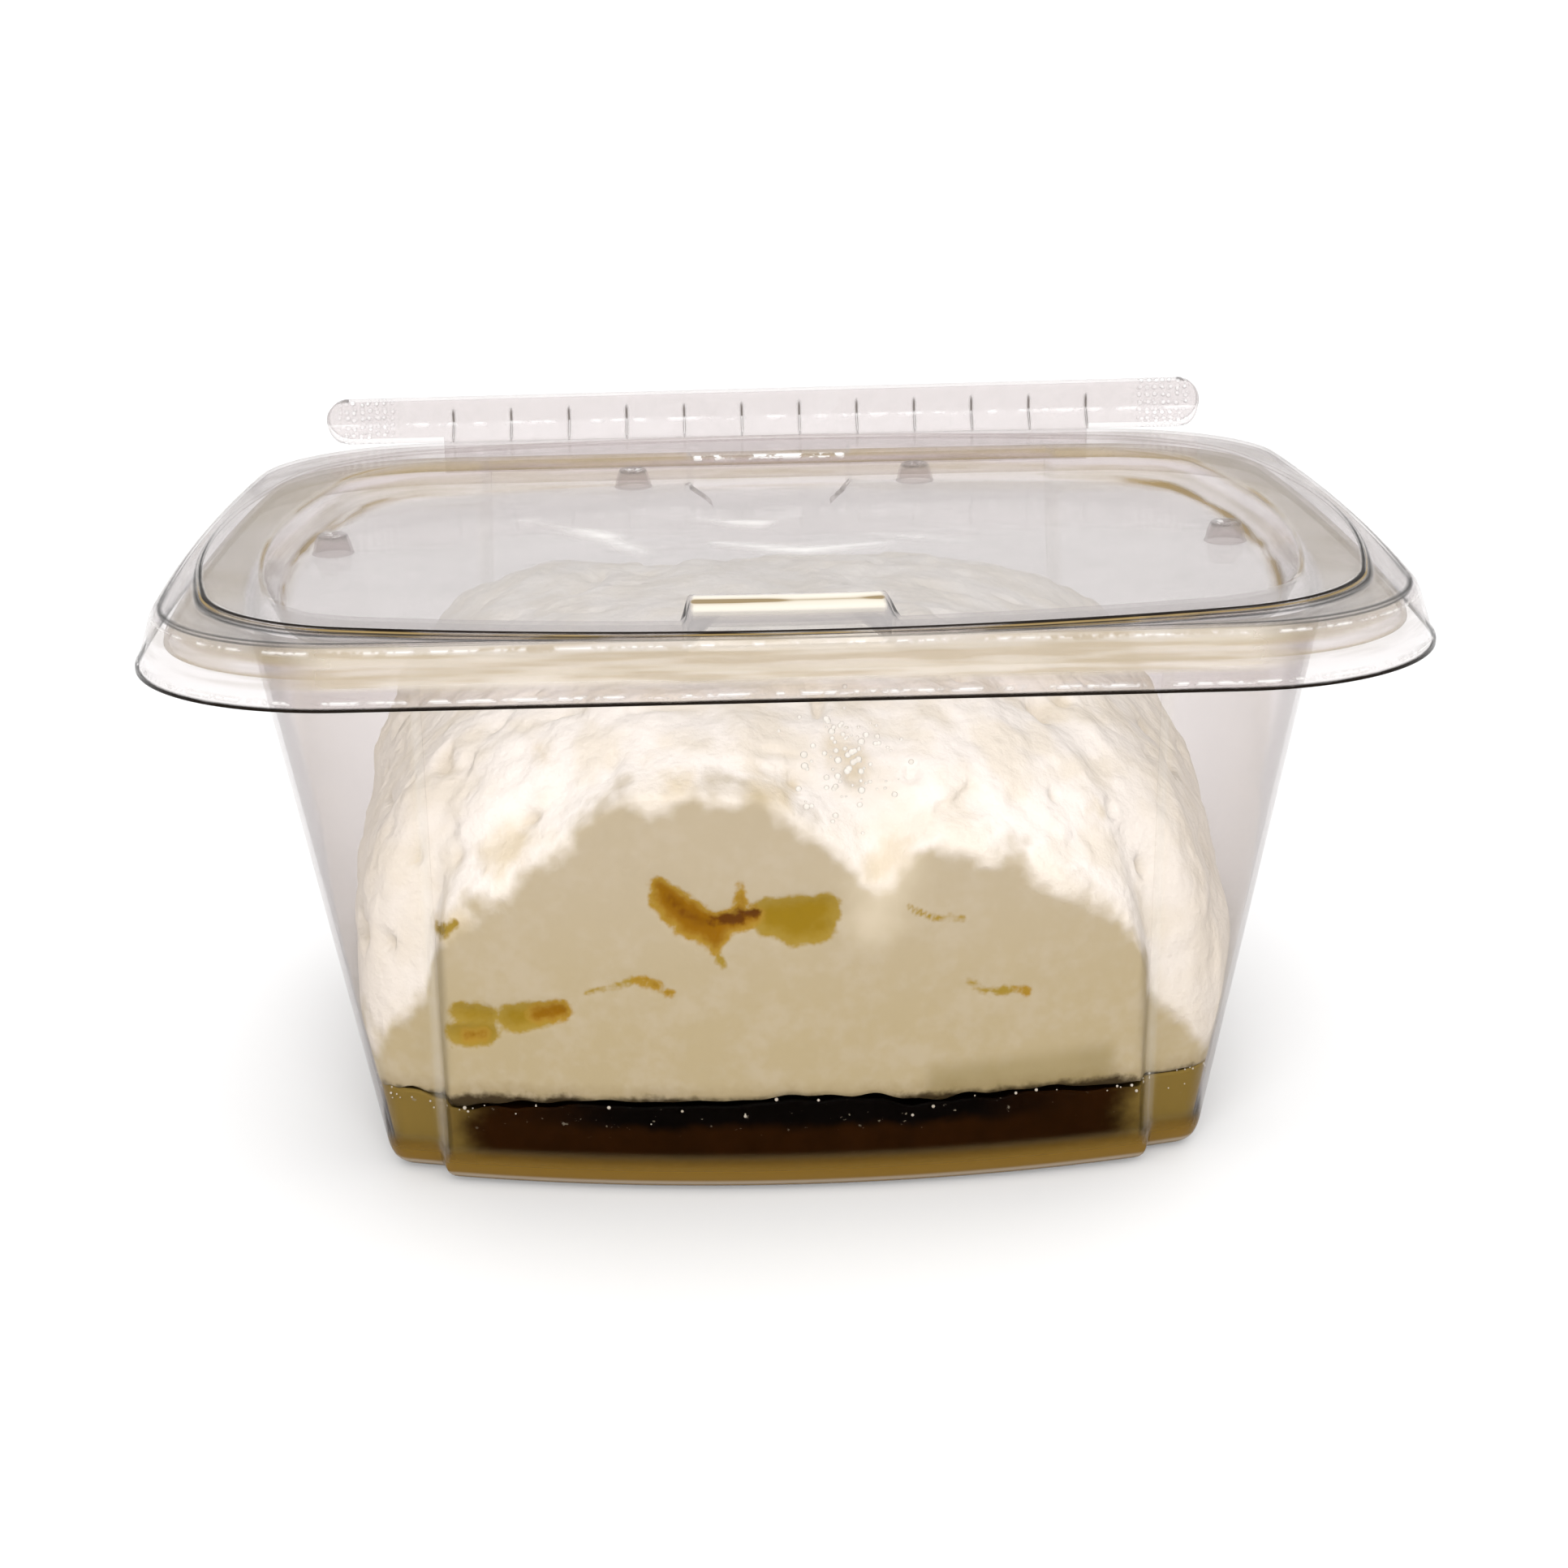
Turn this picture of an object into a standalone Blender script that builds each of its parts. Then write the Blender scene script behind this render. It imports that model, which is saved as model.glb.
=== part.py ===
# Ricotta in a clear hinged plastic tub: the tub, its lid with a tear-off hinge strip,
# the mound of ricotta and the whey that has drained under it.
# The origin is the middle of the tub's flat underside; +Z is up and the front faces -Y.

from collections import namedtuple

import bmesh
import bpy
import numpy as np
from mathutils import Vector

# Driving dimensions, in millimetres
MM = 0.001
GAP = 0.3
TUB_SHEET = 0.6
LID_SHEET = 0.45

# A bowed outline: the corners' centres and radius, and how far front and sides bulge
Outline = namedtuple("Outline", "corner_x corner_y radius front_bulge side_bulge")
TUB_FOOT = Outline(45.5, 34.5, 3.5, 6.3, 3.0)
TUB_MOUTH = Outline(47.2, 38.0, 14.0, 3.2, 3.8)
LID_SHOULDER = Outline(47.65, 38.11, 23.84, 0.1, 1.18)
LID_RIDGE = Outline(42.52, 31.04, 24.5, 5.13, 3.8)

# Heights above the surface that the tub stands on
FLANGE_UNDERSIDE = 68.8
LIP_END = 67.2
SKIRT_END = 64.6
SHOULDER_TOP = 71.35
RIDGE_TOP = 71.6
RECESS_EDGE = 70.8
RECESS_FLOOR = 66.6

# A step on a front or back side: its distance from the middle, half its width, points outside it
Edge = namedtuple("Edge", "place half_width outside_points")

# The raised panel on the tub's front and back walls
PANEL_EDGE = Edge(40.8, 0.6, 0)
PANEL_STEP = 2.7

# The stacking blocks at the front and back middle of the lid's recess, and its four lugs
BLOCK_EDGE = Edge(11.6, 0.5, 3)
BLOCK_DEPTH = 10.0
LUG_RADIUS = 2.6
LUG_TOP_RADIUS = 1.7
LUG_HEIGHT = 2.6
LUG_SIDES = 12
LUG_PLACES = ((-57.4, 7.0), (57.6, 2.5), (-19.6, 48.6), (21.0, 48.6))

# The folded strip that joins lid and tub at the back
STRIP_LEFT = -65.0
STRIP_RIGHT = 64.5
STRIP_FOOT = 71.65
STRIP_TOP = 78.3
STRIP_CREASE = 74.0
STRIP_SHEET = 0.5
STRIP_FOOT_Y = 61.0
STRIP_CREASE_Y = 63.2
STRIP_BACK_Y = 65.0
STRIP_BACK_END = 66.2
STRIP_BACK_HALF_LENGTH = 48.0
STRIP_SLITS = 12
FIRST_SLIT = -46.3
LAST_SLIT = 47.6
SLIT_WIDTH = 0.35

# Levels of the food
WHEY_TOP = 11.2
MOUND_TOP = 62.4
CONTACT_SIDE = 22.0
CONTACT_FRONT = 36.5
CONTACT_BACK = 40.0

# How finely the outlines are divided, for one quarter of a ring
SIDE_POINTS = 4
CORNER_POINTS = 8
FRONT_POINTS = 5


def make_material(name, colour, roughness, alpha=1.0):
    """One Principled material."""
    material = bpy.data.materials.new(name)
    material.use_nodes = True
    shader = material.node_tree.nodes["Principled BSDF"]
    shader.inputs["Base Color"].default_value = (*colour, 1.0)
    shader.inputs["Roughness"].default_value = roughness
    shader.inputs["Metallic"].default_value = 0.0
    shader.inputs["Alpha"].default_value = alpha
    return material


def make_object(name, bm, material):
    """Turn a bmesh in millimetres into a smooth-shaded object in metres."""
    bmesh.ops.scale(bm, vec=(MM, MM, MM), verts=bm.verts)
    mesh = bpy.data.meshes.new(name)
    bm.to_mesh(mesh)
    bm.free()
    mesh.materials.append(material)
    mesh.shade_smooth()
    mesh.set_sharp_from_angle(angle=np.radians(35.0))
    obj = bpy.data.objects.new(name, mesh)
    bpy.context.collection.objects.link(obj)
    return obj


def blend(a, b, share):
    """The outline that lies the given share of the way from outline a to outline b."""
    return Outline(*(p + (q - p) * share for p, q in zip(a, b)))


def front_points(edge, corner_end):
    """Distances from the middle at which a front or back side is divided, from its end inwards.

    An edge is where a step lies: its place, half its width, and how many points lie outside it.
    """
    outside = np.linspace(corner_end, edge.place + edge.half_width, edge.outside_points + 2)[1:]
    inside = np.linspace(edge.place - edge.half_width, 0.0, FRONT_POINTS - edge.outside_points)
    return np.concatenate([outside, inside])


def ring(outline, inset, edge, step=0.0):
    """One closed ring of points on a bowed outline, counter-clockwise seen from above.

    A side is an arc through two corner centres, moved out by the corner radius. The points
    on the front and back that lie inside the edge are moved out by the step.
    """
    radius = outline.radius - inset
    front_radius = (outline.corner_x**2 + outline.front_bulge**2) / (2 * outline.front_bulge)
    side_radius = (outline.corner_y**2 + outline.side_bulge**2) / (2 * outline.side_bulge)
    front_turn = np.arcsin(outline.corner_x / front_radius)
    side_turn = np.arcsin(outline.corner_y / side_radius)
    turns = side_turn * np.arange(SIDE_POINTS) / SIDE_POINTS
    side_centre = outline.corner_x + outline.side_bulge - side_radius
    side = np.column_stack([side_centre + (side_radius + radius) * np.cos(turns),
                            (side_radius + radius) * np.sin(turns)])
    turns = np.linspace(side_turn, np.pi / 2 - front_turn, CORNER_POINTS)
    corner = np.column_stack([outline.corner_x + radius * np.cos(turns),
                              outline.corner_y + radius * np.sin(turns)])
    x = front_points(edge, corner[-1, 0])
    front_centre = outline.corner_y + outline.front_bulge - front_radius
    y = front_centre + np.sqrt((front_radius + radius)**2 - x**2)
    y[x < edge.place] += step
    quarter = np.vstack([side, corner, np.column_stack([x, y])])
    left_back = (quarter * [-1, 1])[::-1][1:]
    left_front = (quarter * [-1, -1])[1:]
    right_front = (quarter * [1, -1])[::-1][1:-1]
    return np.vstack([quarter, left_back, left_front, right_front])


def tub_ring(height, inset):
    """A ring on the tub's wall, which leans out evenly and carries the front and back panels."""
    outline = blend(TUB_FOOT, TUB_MOUTH, height / FLANGE_UNDERSIDE)
    edge = PANEL_EDGE._replace(place=PANEL_EDGE.place - inset)
    return ring(outline, inset, edge, PANEL_STEP)


def at_height(points, height):
    """Give a ring its height, one number or one for each point."""
    return np.column_stack([points, np.broadcast_to(height, len(points))])


def loft(rings, close_first, close_last):
    """Join rings of equal length into a sheet, with a flat face over an end where asked."""
    bm = bmesh.new()
    rows = [[bm.verts.new(point) for point in points] for points in rings]
    for lower, upper in zip(rows, rows[1:]):
        for i in range(len(lower)):
            following = (i + 1) % len(lower)
            bm.faces.new((lower[i], lower[following], upper[following], upper[i]))
    if close_first:
        bm.faces.new(rows[0][::-1])
    if close_last:
        bm.faces.new(rows[-1])
    return bm


def add_thickness(obj, thickness):
    """Give a sheet its thickness on the side its faces turn away from."""
    solidify = obj.modifiers.new("Sheet", "SOLIDIFY")
    solidify.thickness = thickness * MM
    solidify.offset = -1.0
    solidify.use_even_offset = True


def build_tub(material):
    """The tub: floor, leaning wall, flange and turned-down lip, as one formed sheet."""
    wall = ((0.0, 2.4), (0.35, 1.1), (1.1, 0.3), (2.4, 0.0), (24.0, 0.0), (46.0, 0.0),
            (FLANGE_UNDERSIDE - 0.5, 0.0))
    rings = [at_height(tub_ring(height, inset), height) for height, inset in wall]
    rings.append(at_height(tub_ring(FLANGE_UNDERSIDE, -0.4), FLANGE_UNDERSIDE))
    for inset, height in ((2.6, FLANGE_UNDERSIDE), (1.8, FLANGE_UNDERSIDE - 0.5), (1.6, LIP_END)):
        rings.append(at_height(ring(LID_SHOULDER, inset, PANEL_EDGE), height))
    tub = make_object("tub", loft(rings, True, False), material)
    add_thickness(tub, TUB_SHEET)
    return tub


def recess_ring(inset):
    """A ring of the lid's recess, which steps in round the two stacking blocks."""
    return ring(LID_RIDGE, inset, BLOCK_EDGE, -BLOCK_DEPTH)


def cone_frustum(bm, x, y, bottom, top, bottom_radius, top_radius):
    """Add one closed tapered lug to a bmesh."""
    result = bmesh.ops.create_cone(bm, cap_ends=True, segments=LUG_SIDES, radius1=bottom_radius,
                                   radius2=top_radius, depth=top - bottom)
    bmesh.ops.translate(bm, vec=(x, y, (top + bottom) / 2), verts=result["verts"])


def add_tool(obj, bm, operation):
    """Join or cut an object with a closed shape that the build leaves out."""
    tool = make_object(obj.name + "_tool", bm, obj.data.materials[0])
    tool.hide_render = True
    tool.display_type = "WIRE"
    boolean = obj.modifiers.new(operation.title(), "BOOLEAN")
    boolean.operation = operation
    boolean.solver = "EXACT"
    boolean.object = tool


def build_lid(material):
    """The lid: skirt, shoulder, groove, ridge, land and sunk panel, as one formed sheet with lugs."""
    skirt = ((SKIRT_END, -2.33), (65.2, -2.3), (65.9, -1.75), (70.3, -0.35), (71.1, 0.05), (SHOULDER_TOP, 0.5))
    rings = [at_height(ring(LID_SHOULDER, inset, BLOCK_EDGE), height) for height, inset in skirt]
    land = ((RIDGE_TOP - 0.6, -0.4), (RIDGE_TOP, 0.0), (RIDGE_TOP - 0.3, 1.0), (RECESS_EDGE + 0.3, 6.8))
    rings += [at_height(ring(LID_RIDGE, inset, BLOCK_EDGE), height) for height, inset in land]
    recess = ((RECESS_EDGE, 7.6), (RECESS_FLOOR + 0.6, 9.2), (RECESS_FLOOR, 10.0))
    rings += [at_height(recess_ring(inset), height) for height, inset in recess]
    lid = make_object("lid", loft(rings, False, True), material)
    add_thickness(lid, LID_SHEET)
    lugs = bmesh.new()
    for x, y in LUG_PLACES:
        cone_frustum(lugs, x, y, RECESS_FLOOR - LID_SHEET / 2, RECESS_FLOOR + LUG_HEIGHT, LUG_RADIUS, LUG_TOP_RADIUS)
    add_tool(lid, lugs, "UNION")
    return lid


def extrude_outline(points, axis, start, end):
    """A closed prism: an outline in the plane across an axis, extruded along it."""
    bm = bmesh.new()
    verts = [bm.verts.new(np.insert(np.asarray(point, float), axis, start)) for point in points]
    face = bm.faces.new(verts)
    result = bmesh.ops.extrude_face_region(bm, geom=[face])
    moved = [element for element in result["geom"] if isinstance(element, bmesh.types.BMVert)]
    offset = Vector((0.0, 0.0, 0.0))
    offset[axis] = end - start
    bmesh.ops.translate(bm, vec=offset, verts=moved)
    bmesh.ops.recalc_face_normals(bm, faces=bm.faces)
    return bm


def strip_section():
    """The folded strip across its length: a leaning foot, a front leaf, a round fold, a back leaf."""
    radius = (STRIP_BACK_Y - STRIP_CREASE_Y) / 2
    fold_y = STRIP_BACK_Y - radius
    fold_z = STRIP_TOP - radius
    turns = np.linspace(np.pi, 0.0, 7)
    outer = [(fold_y + radius * np.cos(a), fold_z + radius * np.sin(a)) for a in turns]
    bore = radius - STRIP_SHEET
    inner = [(fold_y + bore * np.cos(a), fold_z + bore * np.sin(a)) for a in turns[::-1]]
    foot = [(STRIP_FOOT_Y, STRIP_FOOT), (STRIP_CREASE_Y, STRIP_CREASE)]
    back = [(STRIP_BACK_Y, STRIP_BACK_END), (STRIP_BACK_Y - STRIP_SHEET, STRIP_BACK_END)]
    lean = STRIP_SHEET * 0.4
    foot_inner = [(STRIP_CREASE_Y + STRIP_SHEET, STRIP_CREASE - lean),
                  (STRIP_FOOT_Y + STRIP_SHEET + lean, STRIP_FOOT)]
    return foot + outer + back + inner + foot_inner


def strip_outline():
    """The strip seen from the front: round ends, and a straight flap below at the back leaf."""
    bottom = STRIP_FOOT - STRIP_SHEET
    radius = (STRIP_TOP - bottom) / 2
    middle = (STRIP_TOP + bottom) / 2
    turns = np.linspace(-np.pi / 2, np.pi / 2, 9)
    right_end = [(STRIP_RIGHT - radius + radius * np.cos(a), middle + radius * np.sin(a)) for a in turns]
    left_end = [(STRIP_LEFT + radius - radius * np.cos(a), middle - radius * np.sin(a)) for a in turns]
    half = STRIP_BACK_HALF_LENGTH
    below = STRIP_BACK_END - STRIP_SHEET
    flap = [(-half, bottom), (-half, below), (half, below), (half, bottom)]
    return right_end + left_end + flap


def build_strip(material):
    """The tear strip: a folded band along the lid's back, round-ended, with a row of slits."""
    bm = extrude_outline(strip_section(), 0, STRIP_LEFT - 1.0, STRIP_RIGHT + 1.0)
    strip = make_object("tear_strip", bm, material)
    ends = extrude_outline(strip_outline(), 1, STRIP_FOOT_Y - 1.0, STRIP_BACK_Y + 1.0)
    add_tool(strip, ends, "INTERSECT")
    slits = bmesh.new()
    for x in np.linspace(FIRST_SLIT, LAST_SLIT, STRIP_SLITS):
        box = bmesh.ops.create_cube(slits, size=1.0)["verts"]
        size = (SLIT_WIDTH, STRIP_CREASE_Y - STRIP_FOOT_Y, (STRIP_CREASE - STRIP_FOOT) * 0.75)
        middle = (x, (STRIP_CREASE_Y + STRIP_FOOT_Y) / 2, (STRIP_CREASE + STRIP_FOOT) / 2)
        bmesh.ops.scale(slits, vec=size, verts=box)
        bmesh.ops.translate(slits, vec=middle, verts=box)
    add_tool(strip, slits, "DIFFERENCE")
    return strip


def food_ring(height):
    """A ring just inside the tub's wall, clear of it by the gap."""
    return tub_ring(height, TUB_SHEET + GAP)


def build_whey(material):
    """The whey: a layer that fills the bottom of the tub up to its level."""
    floor = TUB_SHEET + GAP
    levels = ((floor, 2.4), (floor + 0.9, 0.7), (floor + 2.2, 0.0), (WHEY_TOP, 0.0))
    rings = [at_height(tub_ring(height, TUB_SHEET + GAP + inset), height) for height, inset in levels]
    return make_object("whey", loft(rings, True, True), material)


def hump(x, middle, reach):
    """A smooth rise of height one about the middle."""
    return np.exp(-((x - middle) / reach)**2)


def contact_height(points):
    """How far up the wall the cheese still touches it: in two humps on the front, low at the sides."""
    x, y = points.T
    front = CONTACT_FRONT + 15.0 * hump(x, -12.0, 16.0) + 9.0 * hump(x, 19.0, 9.0)
    back = CONTACT_BACK + 5.0 * np.sin(x / 14.0) + 2.0 * np.sin(x / 6.0 + 1.0)
    side = CONTACT_SIDE + 2.0 * np.sin(y / 9.0) + x / 20.0
    share = np.clip((np.abs(y) - 31.0) / 11.0, 0.0, 1.0)
    share = share * share * (3.0 - 2.0 * share)
    return side + (np.where(y < 0.0, front, back) - side) * share


def build_ricotta(material):
    """The ricotta: it fills the tub above the whey, then rounds over into an uneven mound."""
    bottom = WHEY_TOP + GAP
    contact = contact_height(food_ring(CONTACT_FRONT))
    rings = [at_height(food_ring(bottom), bottom)]
    for share in (0.35, 0.7, 1.0):
        heights = bottom + (contact - bottom) * share
        rows = [food_ring(height)[i] for i, height in enumerate(heights)]
        rings.append(at_height(np.array(rows), heights))
    edge = rings[-1][:, :2]
    turn = np.arctan2(edge[:, 1], edge[:, 0])
    roundness = 2.65 - 0.35 * np.cos(turn)
    for rise in (0.2, 0.4, 0.58, 0.72, 0.84, 0.93, 0.98):
        shrink = (1.0 - rise**roundness)**(1.0 / roundness)
        lumps = 0.012 * np.sin(7 * turn + 9 * rise) + 0.010 * np.sin(12 * turn - 14 * rise + 1.0)
        width = shrink * (1.0 + lumps * min(1.0, 4 * rise)) - 0.006 * np.sin(np.pi * rise)
        heights = contact + (MOUND_TOP - contact) * rise
        rings.append(at_height(edge * width[:, None], heights))
    bm = loft(rings, True, False)
    bm.verts.ensure_lookup_table()
    last = [bm.verts[i] for i in range(len(bm.verts) - len(edge), len(bm.verts))]
    peak = bm.verts.new((0.0, 0.0, MOUND_TOP))
    for i, vert in enumerate(last):
        bm.faces.new((vert, last[(i + 1) % len(last)], peak))
    return make_object("ricotta", bm, material)


for old in list(bpy.data.objects):
    bpy.data.objects.remove(old, do_unlink=True)

clear_plastic = make_material("clear_plastic", (0.86, 0.84, 0.86), 0.12, 0.3)
strip_plastic = make_material("strip_plastic", (0.86, 0.84, 0.88), 0.15, 0.4)
cheese = make_material("ricotta", (0.93, 0.89, 0.78), 0.6)
whey_liquid = make_material("whey", (0.10, 0.05, 0.01), 0.15)

build_tub(clear_plastic)
build_whey(whey_liquid)
build_ricotta(cheese)
build_lid(clear_plastic)
build_strip(strip_plastic)
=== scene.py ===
import bpy
import numpy as np
from mathutils import Matrix, Vector


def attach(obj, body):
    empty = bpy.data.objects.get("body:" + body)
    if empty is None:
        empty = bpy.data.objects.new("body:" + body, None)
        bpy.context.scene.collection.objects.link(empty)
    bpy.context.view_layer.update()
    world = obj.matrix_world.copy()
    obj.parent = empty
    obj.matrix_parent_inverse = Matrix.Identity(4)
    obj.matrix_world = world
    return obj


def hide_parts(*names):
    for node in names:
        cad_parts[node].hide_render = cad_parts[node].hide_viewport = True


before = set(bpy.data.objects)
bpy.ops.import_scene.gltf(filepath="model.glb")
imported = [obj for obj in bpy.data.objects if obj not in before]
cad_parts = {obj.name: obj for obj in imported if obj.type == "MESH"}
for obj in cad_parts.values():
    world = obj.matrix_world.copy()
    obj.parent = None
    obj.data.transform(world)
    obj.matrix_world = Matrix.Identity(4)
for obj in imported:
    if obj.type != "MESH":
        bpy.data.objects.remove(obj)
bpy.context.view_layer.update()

# Tub: the clear body that holds the cheese, drawn by vacuum from one polyester sheet 0.6 mm thick.
# Its bowed walls lean outwards from a rounded foot, the front and back walls carry a raised panel,
# and at the mouth the sheet turns out into a flange and down into a lip under the lid.
MM = 0.001
TUB_SHEET = 0.6
# Each outline: x and y of its corner arc's centre, that arc's radius, and how far the front and the
# side bulge beyond it, in mm.
TUB_FOOT = (45.5, 34.5, 3.5, 6.3, 3.0)
TUB_MOUTH = (47.2, 38.0, 14.0, 3.2, 3.8)
LID_SHOULDER = (47.65, 38.11, 23.84, 0.1, 1.18)
WALL_TOP = 68.8
PANEL_EDGE = 42.4
PANEL_LEAN = 1.1
PANEL_EDGE_HALF_WIDTH = 0.6
PANEL_STEP = 2.7
CLEAR_TINT = (0.925, 0.909, 0.907, 1.0)
FOOT_HAZE = (0.185, 0.103, 0.018, 1.0)
# Tan of the streaks at the mouth, also used for the painted shade along the flange's and lip's folds.
STREAK_HAZE_AND_FOLD_SHADE = (0.46, 0.38, 0.20, 1.0)
SHEEN = (0.97, 0.97, 0.98, 1.0)
LAMP_TINT = (0.985, 0.98, 0.98, 1.0)


def eased(value, low, high):
    """A smooth step: 0 below low, 1 above high, and 3t squared less 2t cubed between them."""
    share = np.clip((value - low) / (high - low), 0.0, 1.0)
    return share * share * (3.0 - 2.0 * share)


def ring_quarter(outline, inset, side_steps, corner_steps, lead_steps, front_x):
    """One quarter of bowed, rounded rectangles, a row each, from the +X middle to the +Y middle.

    A wide side arc, a corner arc and a wide front arc meet without a kink. The side and front arcs
    have the radius (c squared + b squared) / 2b, where c is the corner's centre and b the bulge.
    """
    corner_x, corner_y, radius, front_bulge, side_bulge = [np.reshape(v, (-1, 1)) for v in outline]
    radius = radius - np.reshape(inset, (-1, 1))
    front_radius = (corner_x**2 + front_bulge**2) / (2.0 * front_bulge)
    side_radius = (corner_y**2 + side_bulge**2) / (2.0 * side_bulge)
    front_turn = np.arcsin(corner_x / front_radius)
    side_turn = np.arcsin(corner_y / side_radius)
    turn = side_turn * np.linspace(0.0, 1.0, side_steps + 1)[None, :-1]
    side_x = corner_x + side_bulge - side_radius + (side_radius + radius) * np.cos(turn)
    side_y = (side_radius + radius) * np.sin(turn)
    corner_turn = np.pi / 2.0 - front_turn - side_turn
    turn = side_turn + corner_turn * np.linspace(0.0, 1.0, corner_steps + 1)[None, :-1]
    round_x = corner_x + radius * np.cos(turn)
    round_y = corner_y + radius * np.sin(turn)
    arc_end = corner_x + radius * np.sin(front_turn)
    lead = np.linspace(0.0, 1.0, lead_steps + 1)[None, :-1]
    x = np.concatenate([arc_end + (front_x[0] - arc_end) * lead,
                        np.broadcast_to(front_x, (len(arc_end), len(front_x)))], axis=1)
    y = corner_y + front_bulge - front_radius + np.sqrt((front_radius + radius)**2 - x**2)
    return np.concatenate([side_x, round_x, x], axis=1), np.concatenate([side_y, round_y, y], axis=1)


def whole_rings(quarter_x, quarter_y):
    """Whole rings from their first quarters by two mirrors, anticlockwise, with no column twice."""
    x = np.concatenate([quarter_x[:, :-1], -quarter_x[:, :0:-1],
                        -quarter_x[:, :-1], quarter_x[:, :0:-1]], axis=1)
    y = np.concatenate([quarter_y[:, :-1], quarter_y[:, :0:-1],
                        -quarter_y[:, :-1], -quarter_y[:, :0:-1]], axis=1)
    return x, y


def tub_rings(height, inset, columns, panel=PANEL_STEP):
    """Rings of the tub's wall: foot and mouth outlines blended by height, with raised panels."""
    share = np.reshape(height, (-1, 1)) / WALL_TOP
    outline = [foot + (mouth - foot) * share for foot, mouth in zip(TUB_FOOT, TUB_MOUTH)]
    x, y = ring_quarter(outline, inset, *columns)
    edge = PANEL_EDGE - PANEL_LEAN * share - np.reshape(inset, (-1, 1))
    y = y + panel * (1.0 - eased(x, edge - PANEL_EDGE_HALF_WIDTH, edge + PANEL_EDGE_HALF_WIDTH))
    return whole_rings(x, y)


def profile(corners, passes):
    """Rows of numbers along straight runs, then softened by averaging each row with its neighbours.

    Each corner is its numbers followed by the count of steps to the next one.
    """
    corners = np.array(corners, float)
    runs = [np.linspace(0.0, 1.0, int(steps) + 1)[:-1, None] * (after - before) + before
            for before, after, steps in zip(corners[:-1, :-1], corners[1:, :-1], corners[:-1, -1])]
    rows = np.concatenate(runs + [corners[-1:, :-1]])
    for _ in range(passes):
        rows[1:-1] = 0.25 * rows[:-2] + 0.5 * rows[1:-1] + 0.25 * rows[2:]
    return rows


def closed_belt(name, x, y, z, masks=None, first_pole=None, last_pole=None):
    """A mesh of ring after ring, with four-sided faces turned outwards when the rings rise outside.

    A pole is the point that closes the first or last ring with a fan of triangles.
    """
    rows, columns = x.shape
    points = np.stack([x, y, np.broadcast_to(z, x.shape)], axis=-1).reshape(-1, 3)
    number = np.arange(rows * columns).reshape(rows, columns)
    beside = np.roll(number, -1, axis=1)
    faces = np.stack([number[:-1], beside[:-1], beside[1:], number[1:]], axis=-1)
    faces = faces.reshape(-1, 4).tolist()
    extra = []
    for pole, ring, after in ((first_pole, beside[0], number[0]), (last_pole, number[-1], beside[-1])):
        if pole is not None:
            extra.append(pole)
            centre = np.full(columns, len(points) + len(extra) - 1)
            faces += np.stack([centre, ring, after], axis=-1).tolist()
    if extra:
        points = np.concatenate([points, extra])
    mesh = bpy.data.meshes.new(name)
    mesh.from_pydata((points * MM).tolist(), [], faces)
    for mask, values in (masks or {}).items():
        values = np.broadcast_to(values, x.shape)
        poles = [values[0].mean()] * (first_pole is not None)
        poles += [values[-1].mean()] * (last_pole is not None)
        layer = mesh.attributes.new(mask, "FLOAT", "POINT")
        layer.data.foreach_set("value", np.concatenate([values.ravel(), poles]).astype(np.float32))
    return smooth_piece(name, mesh)


def smooth_piece(name, mesh):
    """A piece with this mesh, shaded smooth, at the origin of the scene."""
    mesh.shade_smooth()
    mesh.validate()
    piece = bpy.data.objects.new(name, mesh)
    bpy.context.scene.collection.objects.link(piece)
    return piece


def give_thickness(piece, sheet):
    """The sheet's thickness in mm, laid on the side that the faces turn away from."""
    solid = piece.modifiers.new("sheet", "SOLIDIFY")
    solid.thickness = sheet * MM
    solid.offset = -1.0
    solid.use_even_offset = False


class Field:
    """A number or colour that varies over a surface: a node's socket, with + - * ** as Math nodes."""

    def __init__(self, finish, socket):
        self.finish = finish
        self.socket = socket

    def math(self, operation, first, second):
        return self.finish.node("Math", {"operation": operation}, {0: first, 1: second})

    def __add__(self, other):
        return self.math("ADD", self, other)

    def __sub__(self, other):
        return self.math("SUBTRACT", self, other)

    def __rsub__(self, other):
        return self.math("SUBTRACT", other, self)

    def __mul__(self, other):
        return self.math("MULTIPLY", self, other)

    def __rmul__(self, other):
        return self.math("MULTIPLY", other, self)

    def __pow__(self, other):
        return self.math("POWER", self, other)


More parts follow.
